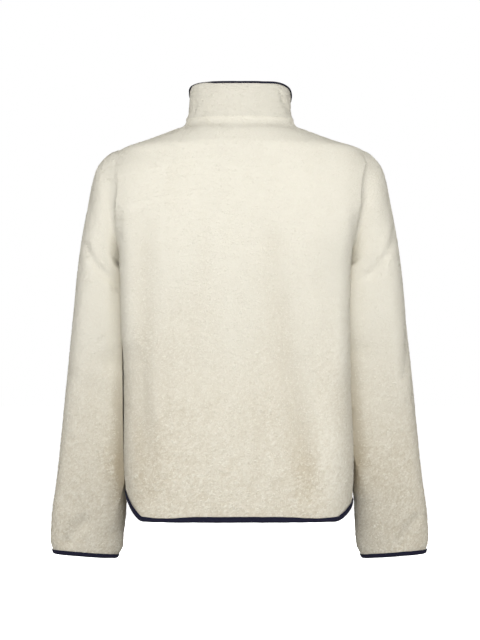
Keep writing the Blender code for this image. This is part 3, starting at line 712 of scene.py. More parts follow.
def ringPoints(side, along):
    row = rowAt(sleeveRows, along)
    innerX = row.leftX if side == "left" else row.rightX
    outer = np.array([sides[side] * row.outerX, row.middleY, row.outerZ])
    inner = np.array([sides[side] * innerX, row.middleY, row.innerZ])
    turns = np.linspace(0.0, 2 * math.pi, sleeve["around"], endpoint=False)
    cosine = np.sign(np.cos(turns)) * np.abs(np.cos(turns)) ** (2 / row.power)
    sine = np.sign(np.sin(turns)) * np.abs(np.sin(turns)) ** (2 / row.power)
    points = (outer + inner) / 2 + cosine[:, None] * (outer - inner) / 2
    points[:, 1] += row.halfDepth * sine
    return points


def sleeveFoldHeight(side, turns, along):
    total = np.zeros((len(along), len(turns)))
    girth = sleeve["elbowGirth"]
    places = np.stack(np.meshgrid(turns * girth, along), axis=-1)
    for fold in sleeveFolds:
        if fold.side != side:
            continue
        start = (fold.turnStart * girth, fold.alongStart)
        _, away = fromSegment(places, start, (fold.turnEnd * girth, fold.alongEnd))
        total += fold.depth * np.exp(-((away / fold.width) ** 2))
    return total * limited(along / 0.03)[:, None]


def evenRing(ring):
    closed = np.concatenate([ring, ring[:1]])
    return evenly(closed, len(ring))[:-1]


# where each sleeve rests against the body it gives way to it
contact = {
    "clear": -0.0006,  # the sunken pile on both sides keeps the skins apart
    "reach": 0.0035,
    "top": -0.300,
    "foot": {"left": -0.630, "right": -0.580},
    "fade": 0.090,
    "innerHalf": 0.035,  # how far in from the middle the inner face begins
    "flatFrom": 0.75,
    "flatOver": 0.20,
    "pressed": 0.002,  # where the nap is pressed flat, and further out where painted shade darkens it beside the body
    "shaded": 0.013,
    "shade": 0.9,
}


def bodyWidth(side, y, z):
    # half the body's width at a place beside it
    at = np.clip(z, torso["hem"], torso["armpit"])
    levels = np.linspace(torso["hem"], torso["armpit"], 80)
    rows = [rowAt(torsoRows, level) for level in levels]
    width = np.interp(at, levels, [getattr(row, side) for row in rows])
    back = np.interp(at, levels, [row.back for row in rows])
    front = np.interp(at, levels, [row.front for row in rows])
    power = np.interp(at, levels, [row.power for row in rows])
    depth = np.where(y > 0, back, front)
    share = limited(np.abs(y) / depth)
    return width * (1.0 - share**power) ** (1.0 / power)


def restOnBody(grid, side):
    # the sleeve's inner face spreads a little, then yields wherever the body is
    z = grid[..., 2]
    spread = limited((contact["top"] - z) / contact["fade"] + 1.0)
    spread *= limited((z - contact["foot"][side]) / contact["fade"] + 1.0)
    centre = grid.mean(axis=1, keepdims=True)
    inwards = limited(-(grid - centre)[..., 0] * sides[side] / contact["innerHalf"])
    x = grid[..., 0] * sides[side] - contact["reach"] * spread * inwards**0.5
    limit = bodyWidth(side, grid[..., 1], z) + contact["clear"]
    touching = spread * limited((inwards - contact["flatFrom"]) / contact["flatOver"])
    x = x + touching * (np.minimum(x, limit) - x)
    isLow = z < contact["top"] + contact["fade"]
    yielding = np.where(isLow, np.maximum(x, limit), grid[..., 0] * sides[side])
    moved = grid.copy()
    moved[..., 0] = yielding * sides[side]
    pressed = np.where(isLow, np.exp(-(((yielding - limit) / contact["pressed"]) ** 2)), 0.0)
    # how near the body each place lies, for the painted shade there
    beside = np.exp(-(((yielding - limit) / contact["shaded"]) ** 2)) * spread
    return moved, pressed, beside


def finishSleeve(name, side):
    loop = armholeLoop(side, sleeve["around"])
    pull = loop - ringPoints(side, 0.0)
    along = np.linspace(0.0, sleeve["length"], sleeve["rings"] + 1)
    rings = []
    for place in along:
        hold = max(0.0, 1.0 - place / sleeve["seamInfluence"]) ** 2
        rings.append(evenRing(ringPoints(side, place) + hold * pull))
    grid = np.array(rings)
    centres = grid.mean(axis=1, keepdims=True)
    normals = gridNormals(grid, grid - centres, wraps=True)
    turns = np.arange(grid.shape[1]) / grid.shape[1]
    base = grid + sleeveFoldHeight(side, turns, along)[..., None] * normals
    base, pressed, beside = restOnBody(base, side)
    normals = gridNormals(base, base - centres, wraps=True)
    normals[0] = without(normals[0], (1, 0, 0))
    normals[-1] = without(normals[-1], centres[-1, 0] - centres[-2, 0])
    _, fromArmhole, fromCuff = edgeDistance(base, wraps=True)
    seamZ = base[0, :, 2][None, :]
    seamPoint = np.broadcast_to(base[:1], base.shape)
    directions = turnedTo(normals, fromArmholeMiddle(seamPoint), fromArmhole)
    base = base + armholeHollow(seamZ, fromArmhole)[..., None] * directions
    width = cloth["bindingWidth"] * binding["cuffShare"]
    ramp = bindingRamp(fromCuff, width)
    relief = pileHeight(base) * ramp * (1.0 - 0.6 * pressed) - pile["underBinding"] * (1 - ramp)
    outer = base + relief[..., None] * directions
    inner = base - cloth["wall"] * normals
    curls = napRamp(fromCuff, width) * (1 - pressed)
    # painted shade on the sleeve where it lies beside the body
    shade = shadeOf(relief) - contact["shade"] * beside
    return addShell(name, outer, inner, shade, curls, wraps=True), base, normals


collar = {"rows": 28, "power": 2.2, "flare": 0.7}
collarRow = namedtuple("collarRow", "share halfWidth depth topZ leftFlare rightFlare")
collarRows = (
    collarRow(0.00, 0.087, 0.062, 0.0555, 0.000, 0.000),
    collarRow(0.22, 0.087, 0.063, 0.0555, 0.000, 0.000),
    collarRow(0.36, 0.087, 0.065, 0.0530, 0.000, 0.000),
    collarRow(0.50, 0.086, 0.066, 0.0450, 0.000, 0.002),
    collarRow(0.70, 0.086, 0.069, 0.0200, 0.000, 0.0055),
    collarRow(0.85, 0.086, 0.072, 0.0010, 0.001, 0.004),
    collarRow(1.00, 0.086, 0.075, -0.0140, 0.001, 0.002),
)

# creases where the collar turns to its sides
collarFold = namedtuple("collarFold", "topX topZ footX footZ depth softness")
collarFolds = (
    collarFold(0.0765, 0.040, 0.0770, 0.012, 0.0010, 0.0040),
    collarFold(-0.0700, 0.044, -0.0760, 0.026, 0.0014, 0.0040),
    collarFold(-0.0760, 0.026, -0.0850, 0.010, 0.0024, 0.0040),
)


def collarGrid(neck):
    shares = np.abs(np.linspace(1.0, -1.0, len(neck)))
    peaks = []
    for j, base in enumerate(neck):
        side = "left" if base[0] > 0 else "right"
        top = rowAt(collarRows, shares[j])
        width = top.halfWidth + (top.leftFlare if side == "left" else top.rightFlare)
        edgeX = torso["frontEdge"] + parting(torso["collarFrontTop"], side)
        lastAngle = math.pi - math.asin((edgeX / width) ** (collar["power"] / 2))
        angle = lastAngle * shares[j]
        x = width * math.sin(angle) ** (2 / collar["power"])
        y = top.depth * math.copysign(abs(math.cos(angle)) ** (2 / collar["power"]), math.cos(angle))
        peaks.append([sides[side] * x, y, top.topZ])
    feet = neck + np.array([0.0, 0.0, cloth["seam"]])
    peaks = np.array(peaks)
    rows = []
    for share in np.linspace(0.0, 1.0, collar["rows"] + 1):
        row = feet + (peaks - feet) * share ** collar["flare"]
        row[:, 2] = feet[:, 2] + (peaks[:, 2] - feet[:, 2]) * share
        rows.append(row)
    return np.array(rows)


def collarBindingShare(top):
    # at the back's left corner the nap almost covers the binding
    corner = binding["collarNarrow"]
    narrow = limited((top[:, 0] - corner["x"]) / corner["over"])
    narrow *= limited((top[:, 1] - corner["y"]) / corner["over"])
    return binding["collarShare"] + (binding["collarLeast"] - binding["collarShare"]) * smoothed(narrow)


def finishCollar(name, neck):
    grid = collarGrid(neck)
    normals = gridNormals(grid, fromNeckMiddle(grid))
    for column in (0, -1):
        normals[:, column] = without(normals[:, column], (1, 0, 0))
    for row in (0, -1):
        normals[row] = without(normals[row], (0, 0, 1))
    (fromLeft, fromRight), fromFoot, fromHead = edgeDistance(grid)
    directions = turnedTo(normals, fromNeckMiddle(grid), fromFoot)
    plain = limited(np.minimum(fromLeft, fromRight) / panel["plainEdge"])
    depth = hollow(*seams["neck"], fromFoot) * plain
    fade = limited(grid[..., 1] / 0.01) * limited(fromFoot / 0.01)
    for fold in collarFolds:
        _, away = fromSegment(grid[..., [0, 2]], (fold.topX, fold.topZ), (fold.footX, fold.footZ))
        depth += hollow(fold.depth, fold.softness, away) * fade
    width = cloth["bindingWidth"] * collarBindingShare(grid[-1])
    base, relief, outer = cladded(grid, depth, directions, fromHead, width)
    inner = base - cloth["wall"] * normals
    return addShell(name, outer, inner, shadeOf(relief), napRamp(fromHead, width)), base, normals


def joinedRows(panels, row):
    run = [panels[0][row]]
    for panel in panels[1:]:
        run[-1] = np.concatenate([run[-1][:-1], [(run[-1][-1] + panel[row][0]) / 2]])
        run.append(panel[row][1:])
    return np.concatenate(run)


def bindingProfile():
    # across the strip: n is away from the wall's middle, u runs up the wall from its edge
    half = cloth["wall"] / 2 + cloth["lap"]
    thick = binding["thickness"]
    top = cloth["bindingWidth"]
    swell = binding["swell"]
    outside = [
        (half + 0.5 * thick, top),
        (half + thick, top - 0.5 * thick),
        (half + thick + swell, 0.55 * top),
        (half + thick + swell, 0.25 * top),
        (half + thick, 0.02 * top),
        (0.65 * (half + thick), -0.8 * thick),
        (0.0, -1.3 * thick),
    ]
    inside = [
        (0.0, -0.3 * thick),
        (0.7 * half, 0.05 * thick),
        (half, 0.10 * top),
        (half, 0.5 * top),
        (half, top - 0.5 * thick),
    ]
    mirrored = [(-n, u) for n, u in outside[:-1]]
    mirroredInside = [(-n, u) for n, u in inside[1:]]
    return outside + mirrored[::-1] + mirroredInside[::-1] + inside


def addBinding(name, edge, normals, beyond, outside, closed, salt):
    # edge runs along the wall's outer skin; beyond points off the wall
    profile = np.array(bindingProfile())
    middle = edge - cloth["wall"] / 2 * normals
    wave = softNoise(middle, binding["puckerLength"], salt)
    fine = softNoise(middle, binding["puckerLength"] * 0.4, salt + 3)
    sections = []
    for (n, u) in profile:
        lift = np.sign(n) * (wave + 0.5 * fine) * binding["pucker"] * (0.3 + abs(n) * 200)
        drop = wave * binding["pucker"]
        rise = u * outside[:, 0] if n > 0 and u > 0 else u
        if u < 0:
            rise = u * np.clip(outside[:, 0] / 0.3, 0.35, 1.0)
        sections.append(middle + (n + lift)[:, None] * normals - (rise + drop)[:, None] * beyond)
    stitchLines[name] = (0.65 * sections[1] + 0.35 * sections[2], normals)
    return stripFrom(name, sections, closed)


def resampled(line, others, spacing):
    run = runAlong(line)
    wanted = np.linspace(0.0, run[-1], int(round(run[-1] / spacing)) + 1)
    return [placed(wanted, run, values) for values in (line, *others)]


def bindEdge(name, edge, inside, normals, outside, closed, salt):
    # inside is the row of the wall a binding's width from its edge
    beyond = unit(edge - inside)
    outside = np.repeat(np.broadcast_to(outside, len(edge))[:, None], 3, axis=1)
    runs = [edge, beyond, normals, outside]
    if closed:
        runs = [np.concatenate([part, part[:1]]) for part in runs]
    edge, beyond, normals, outside = resampled(runs[0], runs[1:], binding["spacing"])
    along = unit(np.gradient(edge, axis=0))
    if closed:
        along[0] = along[-1] = unit(edge[1] - edge[-2])
    beyond = unit(beyond - np.sum(beyond * along, axis=1, keepdims=True) * along)
    normals = unit(normals)
    if closed:
        edge, beyond, normals, outside = (part[:-1] for part in (edge, beyond, normals, outside))
    return addBinding(name, edge, normals, beyond, outside, closed, salt)


nap = {
    "curlLength": 0.0046,
    "curlWidth": 0.0016,
    "curlHeight": 0.0014,
    "curlBow": 0.0011,  # how far each one bends sideways
    "sunk": 0.0006,
    "tilt": (0.30, 0.14, math.pi),  # the most that one leans or turns about each axis
    "size": (0.65, 1.25),
    "taper": 3.2,  # how much narrower its ends are
    "below": 0.6,  # how much of the ground's painted shade each one takes, with a random tone of its own added
    "tone": (0.10, 0.38),
    "perArea": {"back": 84000.0, "sleeve": 78000.0, "front": 50000.0, "collar": 90000.0},
}


def groupWith(name, inputs):
    tree = bpy.data.node_groups.new(name, "GeometryNodeTree")
    tree.interface.new_socket("Geometry", in_out="INPUT", socket_type="NodeSocketGeometry")
    sockets = {}
    for label, kind in inputs:
        sockets[label] = tree.interface.new_socket(label, in_out="INPUT", socket_type=kind).identifier
    tree.interface.new_socket("Geometry", in_out="OUTPUT", socket_type="NodeSocketGeometry")
    return tree, sockets, tree.nodes.new("NodeGroupInput"), tree.nodes.new("NodeGroupOutput")


def addNode(tree, kind, inputs=None, **values):
    node = tree.nodes.new(kind)
    for key, value in values.items():
        setattr(node, key, value)
    for key, value in (inputs or {}).items():
        node.inputs[key].default_value = value
    return node


def named(tree, label, kind="FLOAT"):
    node = addNode(tree, "GeometryNodeInputNamedAttribute", {"Name": label}, data_type=kind)
    return node.outputs["Attribute"]


def finishTree(tree, geometry, given, made):
    finish = addNode(tree, "GeometryNodeSetMaterial")
    tree.links.new(geometry, finish.inputs[0])
    tree.links.new(given.outputs["look"], finish.inputs["Material"])
    tree.links.new(finish.outputs[0], made.inputs[0])


def maths(tree, operation, first, second=None):
    node = addNode(tree, "ShaderNodeMath", operation=operation)
    for socket, value in zip(node.inputs, (first, second)):
        if isinstance(value, (int, float)):
            socket.default_value = value
        elif value is not None:
            tree.links.new(value, socket)
    return node.outputs[0]


def curlMesh(tree, given):
    # one curl: a narrow strip arched off the cloth and bent sideways, thinner at both ends
    link = tree.links.new
    strip = addNode(tree, "GeometryNodeMeshGrid", {"Vertices X": 4, "Vertices Y": 2})
    link(given.outputs["curlLength"], strip.inputs["Size X"])
    link(given.outputs["curlWidth"], strip.inputs["Size Y"])
    parts = addNode(tree, "ShaderNodeSeparateXYZ")
    link(addNode(tree, "GeometryNodeInputPosition").outputs[0], parts.inputs[0])
    share = maths(tree, "DIVIDE", parts.outputs["X"], given.outputs["curlLength"])
    square = maths(tree, "MULTIPLY", share, share)
    wave = maths(tree, "SINE", maths(tree, "MULTIPLY", maths(tree, "ADD", share, 0.5), math.pi))
    height = maths(tree, "MULTIPLY", wave, given.outputs["curlHeight"])
    narrow = maths(tree, "MULTIPLY", parts.outputs["Y"], maths(tree, "MULTIPLY", square, -nap["taper"]))
    bow = maths(tree, "MULTIPLY", square, maths(tree, "MULTIPLY", given.outputs["curlBow"], 4.0))
    offset = addNode(tree, "ShaderNodeCombineXYZ")
    link(maths(tree, "ADD", narrow, bow), offset.inputs["Y"])
    link(maths(tree, "SUBTRACT", height, given.outputs["sunk"]), offset.inputs["Z"])
    arch = addNode(tree, "GeometryNodeSetPosition")
    link(strip.outputs["Mesh"], arch.inputs["Geometry"])
    link(offset.outputs[0], arch.inputs["Offset"])
    return arch.outputs[0]


def napTree():
    floats = ("perArea", "curlLength", "curlWidth", "curlHeight", "curlBow", "sunk")
    inputs = [(label, "NodeSocketFloat") for label in floats]
    inputs += [("seed", "NodeSocketInt"), ("look", "NodeSocketMaterial")]
    tree, sockets, given, made = groupWith("curledNap", inputs)
    link = tree.links.new
    scatter = addNode(tree, "GeometryNodeDistributePointsOnFaces")
    link(given.outputs["Geometry"], scatter.inputs["Mesh"])
    density = maths(tree, "MULTIPLY", named(tree, "napShare"), given.outputs["perArea"])
    link(density, scatter.inputs["Density"])
    link(given.outputs["seed"], scatter.inputs["Seed"])
    most = nap["tilt"]
    least = tuple(-angle for angle in most)
    turn = addNode(tree, "FunctionNodeRandomValue", {0: least, 1: most}, data_type="FLOAT_VECTOR")
    link(given.outputs["seed"], turn.inputs["Seed"])
    toTurn = addNode(tree, "FunctionNodeEulerToRotation")
    link(turn.outputs[0], toTurn.inputs[0])
    turned = addNode(tree, "FunctionNodeRotateRotation", rotation_space="LOCAL")
    link(scatter.outputs["Rotation"], turned.inputs[0])
    link(toTurn.outputs[0], turned.inputs[1])
    size = addNode(tree, "FunctionNodeRandomValue", dict(zip((2, 3), nap["size"])), data_type="FLOAT")
    place = addNode(tree, "GeometryNodeInstanceOnPoints")
    link(scatter.outputs["Points"], place.inputs["Points"])
    link(curlMesh(tree, given), place.inputs["Instance"])
    link(turned.outputs[0], place.inputs["Rotation"])
    link(size.outputs[1], place.inputs["Scale"])
    tone = addNode(tree, "FunctionNodeRandomValue", dict(zip((2, 3), nap["tone"])), data_type="FLOAT")
    # each curl carries part of the cloth's painted shade
    below = maths(tree, "MULTIPLY", named(tree, "pileHeight"), nap["below"])
    kept = addNode(
        tree, "GeometryNodeStoreNamedAttribute", {"Name": "pileHeight"}, data_type="FLOAT", domain="INSTANCE"
    )
    link(place.outputs[0], kept.inputs["Geometry"])
    link(maths(tree, "ADD", below, tone.outputs[1]), kept.inputs["Value"])
    real = addNode(tree, "GeometryNodeRealizeInstances")
    link(kept.outputs[0], real.inputs[0])
    smooth = addNode(tree, "GeometryNodeSetShadeSmooth")
    link(real.outputs[0], smooth.inputs[0])
    finishTree(tree, smooth.outputs[0], given, made)
    return tree, sockets


def madePlain(name, base, tree, sockets, values):
    # runs a tree on a base object and keeps its result as a mesh of its own
    change = base.modifiers.new(tree.name, "NODES")
    change.node_group = tree
    for label, value in values.items():
        change[sockets[label]] = value
    base.update_tag()
    bpy.context.view_layer.update()
    seen = base.evaluated_get(bpy.context.evaluated_depsgraph_get())
    mesh = bpy.data.meshes.new_from_object(seen)
    base.modifiers.remove(change)
    mesh.name = name
    return addObject(name, mesh)


def nodeTree(name):
    made = bpy.data.materials.new(name)
    made.use_nodes = True
    tree = made.node_tree
    return made, tree, tree.nodes["Principled BSDF"]


def setInputs(node, values):
    for label, value in values.items():
        node.inputs[label].default_value = value


def addNoise(tree, place, values):
    noise = addNode(tree, "ShaderNodeTexNoise", values)
    tree.links.new(place, noise.inputs["Vector"])
    return noise.outputs["Fac"]


def addRamp(tree, factor, low, high, **values):
    # low and high are each a position and a colour
    ramp = addNode(tree, "ShaderNodeValToRGB")
    for key, value in values.items():
        setattr(ramp.color_ramp, key, value)
    for element, (position, colour) in zip(ramp.color_ramp.elements, (low, high)):
        element.position = position
        element.color = colour
    tree.links.new(factor, ramp.inputs["Fac"])
    return ramp.outputs["Color"]


def addBump(tree, shader, height, strength, distance):
    bump = addNode(tree, "ShaderNodeBump", {"Strength": strength, "Distance": distance})
    tree.links.new(height, bump.inputs["Height"])
    tree.links.new(bump.outputs["Normal"], shader.inputs["Normal"])


def blended(tree, share, first, second):
    mix = addNode(tree, "ShaderNodeMix", {0: share}, data_type="FLOAT")
    tree.links.new(first, mix.inputs[2])
    tree.links.new(second, mix.inputs[3])
    return mix.outputs[0]


def ranged(tree, value, least, most):
    spread = addNode(tree, "ShaderNodeMapRange", {"To Min": least, "To Max": most})
    tree.links.new(value, spread.inputs["Value"])
    return spread.outputs[0]


def fleeceMaterial(name, tone):
    look = {
        "flat": (0.770, 0.742, 0.650, 1.0),
        "tip": (0.865, 0.838, 0.740, 1.0),
        "rootShade": (0.500, 0.430, 0.310, 1.0),
        "flatShare": 0.15,
        "warp": (0.006, 0.006, 0.006),
    }
    made, tree, shader = nodeTree(name)
    link = tree.links.new
    place = addNode(tree, "ShaderNodeTexCoord").outputs["Object"]
    warp = addNode(tree, "ShaderNodeTexNoise", {"Scale": 190.0, "Detail": 2.0})
    link(place, warp.inputs["Vector"])
    shift = addNode(tree, "ShaderNodeVectorMath", {1: look["warp"]}, operation="MULTIPLY_ADD")
    link(warp.outputs["Color"], shift.inputs[0])
    link(place, shift.inputs[2])
    loops = addNoise(tree, shift.outputs[0], {"Scale": 300.0, "Detail": 1.0, "Distortion": 1.4})
    fibres = addNoise(tree, shift.outputs[0], {"Scale": 900.0, "Detail": 3.0, "Roughness": 0.6})
    height = blended(tree, 0.35, loops, fibres)
    addBump(tree, shader, height, 0.6, 0.0011)
    # painted shade: the pileHeight attribute darkens the gaps between the curls, the folds' troughs and the
    # sleeves beside the body, towards the dark root shade colour
    depth = addNode(tree, "ShaderNodeAttribute", attribute_name="pileHeight").outputs["Fac"]
    shade = blended(tree, 0.4, depth, height)
    curls = addRamp(tree, shade, (0.16, look["rootShade"]), (0.80, look["tip"]), interpolation="EASE")
    # and where the nap lies flat its colour is even, so the painted shade grows darker towards the hem and
    # cuffs
    full = addNode(tree, "ShaderNodeAttribute", attribute_name="napFullnessShade").outputs["Fac"]
    shadedNap = addNode(tree, "ShaderNodeMix", data_type="RGBA")
    shadedNap.inputs[6].default_value = look["flat"]
    link(ranged(tree, full, look["flatShare"], 1.0), shadedNap.inputs[0])
    link(curls, shadedNap.inputs[7])
    # random tone in large patches, scaled as a whole by tone, which darkens the collar's copy as painted
    # shade
    cloud = addNoise(tree, place, {"Scale": 14.0, "Detail": 3.0})
    tinted = addNode(tree, "ShaderNodeVectorMath", operation="SCALE")
    link(shadedNap.outputs[2], tinted.inputs[0])
    link(ranged(tree, cloud, 0.985 * tone, 1.015 * tone), tinted.inputs["Scale"])
    link(tinted.outputs[0], shader.inputs["Base Color"])
    setInputs(shader, {"Roughness": 0.95, "Specular IOR Level": 0.1})
    sheen = {"Sheen Weight": 0.22, "Sheen Roughness": 0.7, "Sheen Tint": (0.95, 0.93, 0.86, 1.0)}
    setInputs(shader, sheen)
    return made


def bindingMaterial():
    made, tree, shader = nodeTree("navyBinding")
    place = addNode(tree, "ShaderNodeTexCoord").outputs["Object"]
    weave = addNoise(tree, place, {"Scale": 1400.0, "Detail": 2.0})
    dark, light = (0.007, 0.007, 0.017, 1.0), (0.020, 0.020, 0.044, 1.0)
    tree.links.new(addRamp(tree, weave, (0.35, dark), (0.75, light)), shader.inputs["Base Color"])
    addBump(tree, shader, weave, 0.4, 0.0003)
    setInputs(shader, {"Roughness": 0.9, "Specular IOR Level": 0.1})
    return made


fleece = fleeceMaterial("creamFleece", 1.0)
# the collar's copy of the fleece is darker all over: painted shade
shadedCollarFleece = fleeceMaterial("creamFleeceCollarShaded", 0.915)
navy = bindingMaterial()

pieces = {}
smooths = {}
stitchLines = {}


def keep(piece, node=None, look=None):
    pieces[piece.name] = piece
    if look:
        piece.data.materials.append(look)
    if node:
        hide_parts(node)
    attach(piece, "jacket")


def keepCloth(made, node, look):
    piece, smooth, normals = made
    smooths[piece.name] = (smooth, normals)
    keep(piece, node, look)


backRows = backGrid()
keepCloth(finishPanel("backPanel", backRows, "back", (0, -1)), "back", fleece)
frontRows = {}
for side in sides:
    frontRows[side] = frontGrid(side)
    keepCloth(finishPanel(f"{side}Front", frontRows[side], "front", (0,)), f"front_{side}", fleece)
    keepCloth(finishSleeve(f"{side}Sleeve", side), f"sleeve_{side}", fleece)
print("panels and sleeves made")

skins = [smooths["leftFront"][0][:, ::-1], smooths["backPanel"][0], smooths["rightFront"][0]]
bent = [smooths["leftFront"][1][:, ::-1], smooths["backPanel"][1], smooths["rightFront"][1]]
neckLine = evenly(joinedRows([frontRows["left"][:, ::-1], backRows, frontRows["right"]], -1), 208)
keepCloth(finishCollar("standCollar", neckLine), "collar", shadedCollarFleece)


def keepBinding(name, edge, inside, normals, outside, closed, node, salt):
    piece = bindEdge(name, edge, inside, normals, outside, closed, salt)
    keep(piece, node, navy)


hemEdge, hemInside, hemNormals = joinedRows(skins, 0), joinedRows(skins, 3), joinedRows(bent, 0)
widths = hemBindingShare(hemEdge)
keepBinding("hemBinding", hemEdge, hemInside, hemNormals, widths, False, "hem_binding", 71)
skin, normals = smooths["standCollar"]
widths = collarBindingShare(skin[-1])
keepBinding("collarBinding", skin[-1], skin[-4], normals[-1], widths, False, "collar_binding", 72)
for side in sides:
    skin, normals = smooths[f"{side}Sleeve"]
    node = f"cuff_binding_{side}"
    keepBinding(f"{side}CuffBinding", skin[-1], skin[-3], normals[-1], binding["cuffShare"], True, node, 73)
print("collar and bindings made")


def tapeMaterial():
    made, tree, shader = nodeTree("navyTape")
    values = {"Scale": 420.0, "Distortion": 1.2, "Detail": 2.0, "Detail Scale": 3.0}
    ribs = addNode(tree, "ShaderNodeTexWave", values, bands_direction="Z")
    tree.links.new(addNode(tree, "ShaderNodeTexCoord").outputs["Object"], ribs.inputs["Vector"])
    dark, light = (0.006, 0.006, 0.020, 1.0), (0.022, 0.022, 0.060, 1.0)
    colour = addRamp(tree, ribs.outputs["Fac"], (0.0, dark), (1.0, light))
    tree.links.new(colour, shader.inputs["Base Color"])
    addBump(tree, shader, ribs.outputs["Fac"], 0.5, 0.0002)
    setInputs(shader, {"Roughness": 0.85, "Specular IOR Level": 0.2})
    return made


def hardMaterial(name, look):
    # moulded or cast pieces with a faint unevenness
    made, tree, shader = nodeTree(name)
    place = addNode(tree, "ShaderNodeTexCoord").outputs["Object"]
    grain = addNoise(tree, place, {"Scale": look["grain"], "Detail": 5.0})
    colour = addRamp(tree, grain, (0.3, look["dark"]), (0.7, look["light"]))
    tree.links.new(colour, shader.inputs["Base Color"])
    rough = ranged(tree, grain, look["roughness"] - 0.08, look["roughness"] + 0.10)
    tree.links.new(rough, shader.inputs["Roughness"])
    addBump(tree, shader, grain, 0.15, 0.00008)
    setInputs(shader, {"Metallic": look["metallic"]})
    return made


zipper = {
    "edgeToTape": 0.0060,  # how far each tape shows past its front's edge
    "tapeWidth": 0.0100,
    "tapeThickness": 0.0008,
    "tapeDepth": 0.00375,  # below the fleece's outer skin
    "teethFromEdge": 0.00535,
    "pitch": 0.0026,
    "toothHalfDepth": 0.0012,
    "endsShort": 0.0075,
    "spacing": 0.0026,
}


def zipEdge(side):
    # the line of one front's edge, up to the collar's top, with its facing and inward directions
    column = 0 if side == "left" else -1
    skins = (smooths[f"{side}Front"], smooths["standCollar"])
    edge = np.concatenate([skins[0][0][:, -1], skins[1][0][1:, column]])
    facing = np.concatenate([skins[0][1][:, -1], skins[1][1][1:, column]])
    run = runAlong(edge)
    count = int((run[-1] - 2 * zipper["endsShort"]) / zipper["spacing"])
    wanted = np.linspace(zipper["endsShort"], run[-1] - zipper["endsShort"], count + 1)
    edge = placed(wanted, run, edge)
    facing = unit(placed(wanted, run, facing))
    inward = np.broadcast_to([-sides[side], 0.0, 0.0], edge.shape)
    inward = unit(inward - np.sum(inward * facing, axis=1, keepdims=True) * facing)
    return edge, facing, inward


def addTape(name, side):
    edge, facing, inward = zipEdge(side)
    half = zipper["tapeThickness"] / 2
    depth = zipper["tapeDepth"] + half
    far = zipper["edgeToTape"]
    near = far - zipper["tapeWidth"]
    # the inner edge ends in a thicker bead that the teeth grip
    outline = [
        (near, 0.3 * half),
        (near + 0.0004, half),
        ((near + far) / 2, half),
        (far - 0.0012, half),
        (far - 0.0007, 1.35 * half),
        (far, 0.6 * half),
    ]
    outline += [(x, -d) for x, d in outline[::-1]]
    return stripFrom(name, [edge + x * inward + (d - depth) * facing for x, d in outline], False)


def addLoft(name, rings):
    # a small closed solid through equal rings
    rings = np.array(rings)
    number = np.arange(rings.shape[0] * rings.shape[1]).reshape(rings.shape[:2])
    quads = gridQuads(number, True)
    fans = []
    for k in range(1, rings.shape[1] - 1):
        fans.append((number[0][0], number[0][k + 1], number[0][k]))
        fans.append((number[-1][0], number[-1][k], number[-1][k + 1]))
    triangles = np.array(fans)
    points = rings.reshape(-1, 3)
    if signedVolume(points, quads, triangles) < 0:
        quads, triangles = quads[:, ::-1], triangles[:, ::-1]
    return meshFrom(name, points, quads, triangles)


def addTooth():
    # +X is towards the other row, +Y along the zip; a waist behind a rounded head
    outline = ((-0.0021, 0.00110), (0.0, 0.00105), (0.0006, 0.00050), (0.0015, 0.00064), (0.0022, 0.00032))
    outline += tuple((x, -y) for x, y in outline[::-1])
    half = zipper["toothHalfDepth"]
    rings = []
    for depth, share in ((-half, 0.78), (-0.75 * half, 1.0), (0.75 * half, 1.0), (half, 0.78)):
        rings.append([(x * share, y * share, depth) for x, y in outline])
    return addLoft("tooth", rings)


def addStitch():
    # one raised stitch along +Y
    half = ((0.0013, 0.00006), (0.0010, 0.00020))
    profile = [(-y, radius) for y, radius in half] + [(0.0, 0.00026)] + list(half[::-1])
    turns = np.linspace(0.0, 2 * math.pi, 6, endpoint=False)
    rings = []
    for y, radius in profile:
        rings.append([(1.1 * radius * math.cos(t), y, radius * math.sin(t)) for t in turns])
    return addLoft("stitch", rings)


def repeatTree():
    inputs = [("model", "NodeSocketObject"), ("look", "NodeSocketMaterial"), ("seed", "NodeSocketInt")]
    inputs += [("scaleLeast", "NodeSocketFloat"), ("scaleMost", "NodeSocketFloat")]
    tree, sockets, given, made = groupWith("alongSeam", inputs)
    link = tree.links.new
    model = addNode(tree, "GeometryNodeObjectInfo")
    link(given.outputs["model"], model.inputs["Object"])
    turned = addNode(tree, "FunctionNodeAxesToRotation", primary_axis="Z", secondary_axis="Y")
    link(named(tree, "facing", "FLOAT_VECTOR"), turned.inputs[0])
    link(named(tree, "along", "FLOAT_VECTOR"), turned.inputs[1])
    size = addNode(tree, "FunctionNodeRandomValue", data_type="FLOAT")
    link(given.outputs["scaleLeast"], size.inputs[2])
    link(given.outputs["scaleMost"], size.inputs[3])
    link(given.outputs["seed"], size.inputs["Seed"])
    place = addNode(tree, "GeometryNodeInstanceOnPoints")
    link(given.outputs["Geometry"], place.inputs["Points"])
    link(model.outputs["Geometry"], place.inputs["Instance"])
    link(turned.outputs[0], place.inputs["Rotation"])
    link(size.outputs[1], place.inputs["Scale"])
    real = addNode(tree, "GeometryNodeRealizeInstances")
    link(place.outputs[0], real.inputs[0])
    finishTree(tree, real.outputs[0], given, made)
    return tree, sockets


def addRepeated(name, places, facing, along, values):
    mesh = bpy.data.meshes.new(f"{name}Places")
    mesh.from_pydata([tuple(p) for p in places], [], [])
    for label, vectors in (("facing", facing), ("along", along)):
        kept = mesh.attributes.new(label, "FLOAT_VECTOR", "POINT")
        kept.data.foreach_set("vector", np.asarray(vectors, dtype=np.float32).reshape(-1))
    base = addObject(f"{name}Places", mesh)
    piece = madePlain(name, base, repeated, repeatedSockets, values)
    bpy.data.objects.remove(base)
    return piece


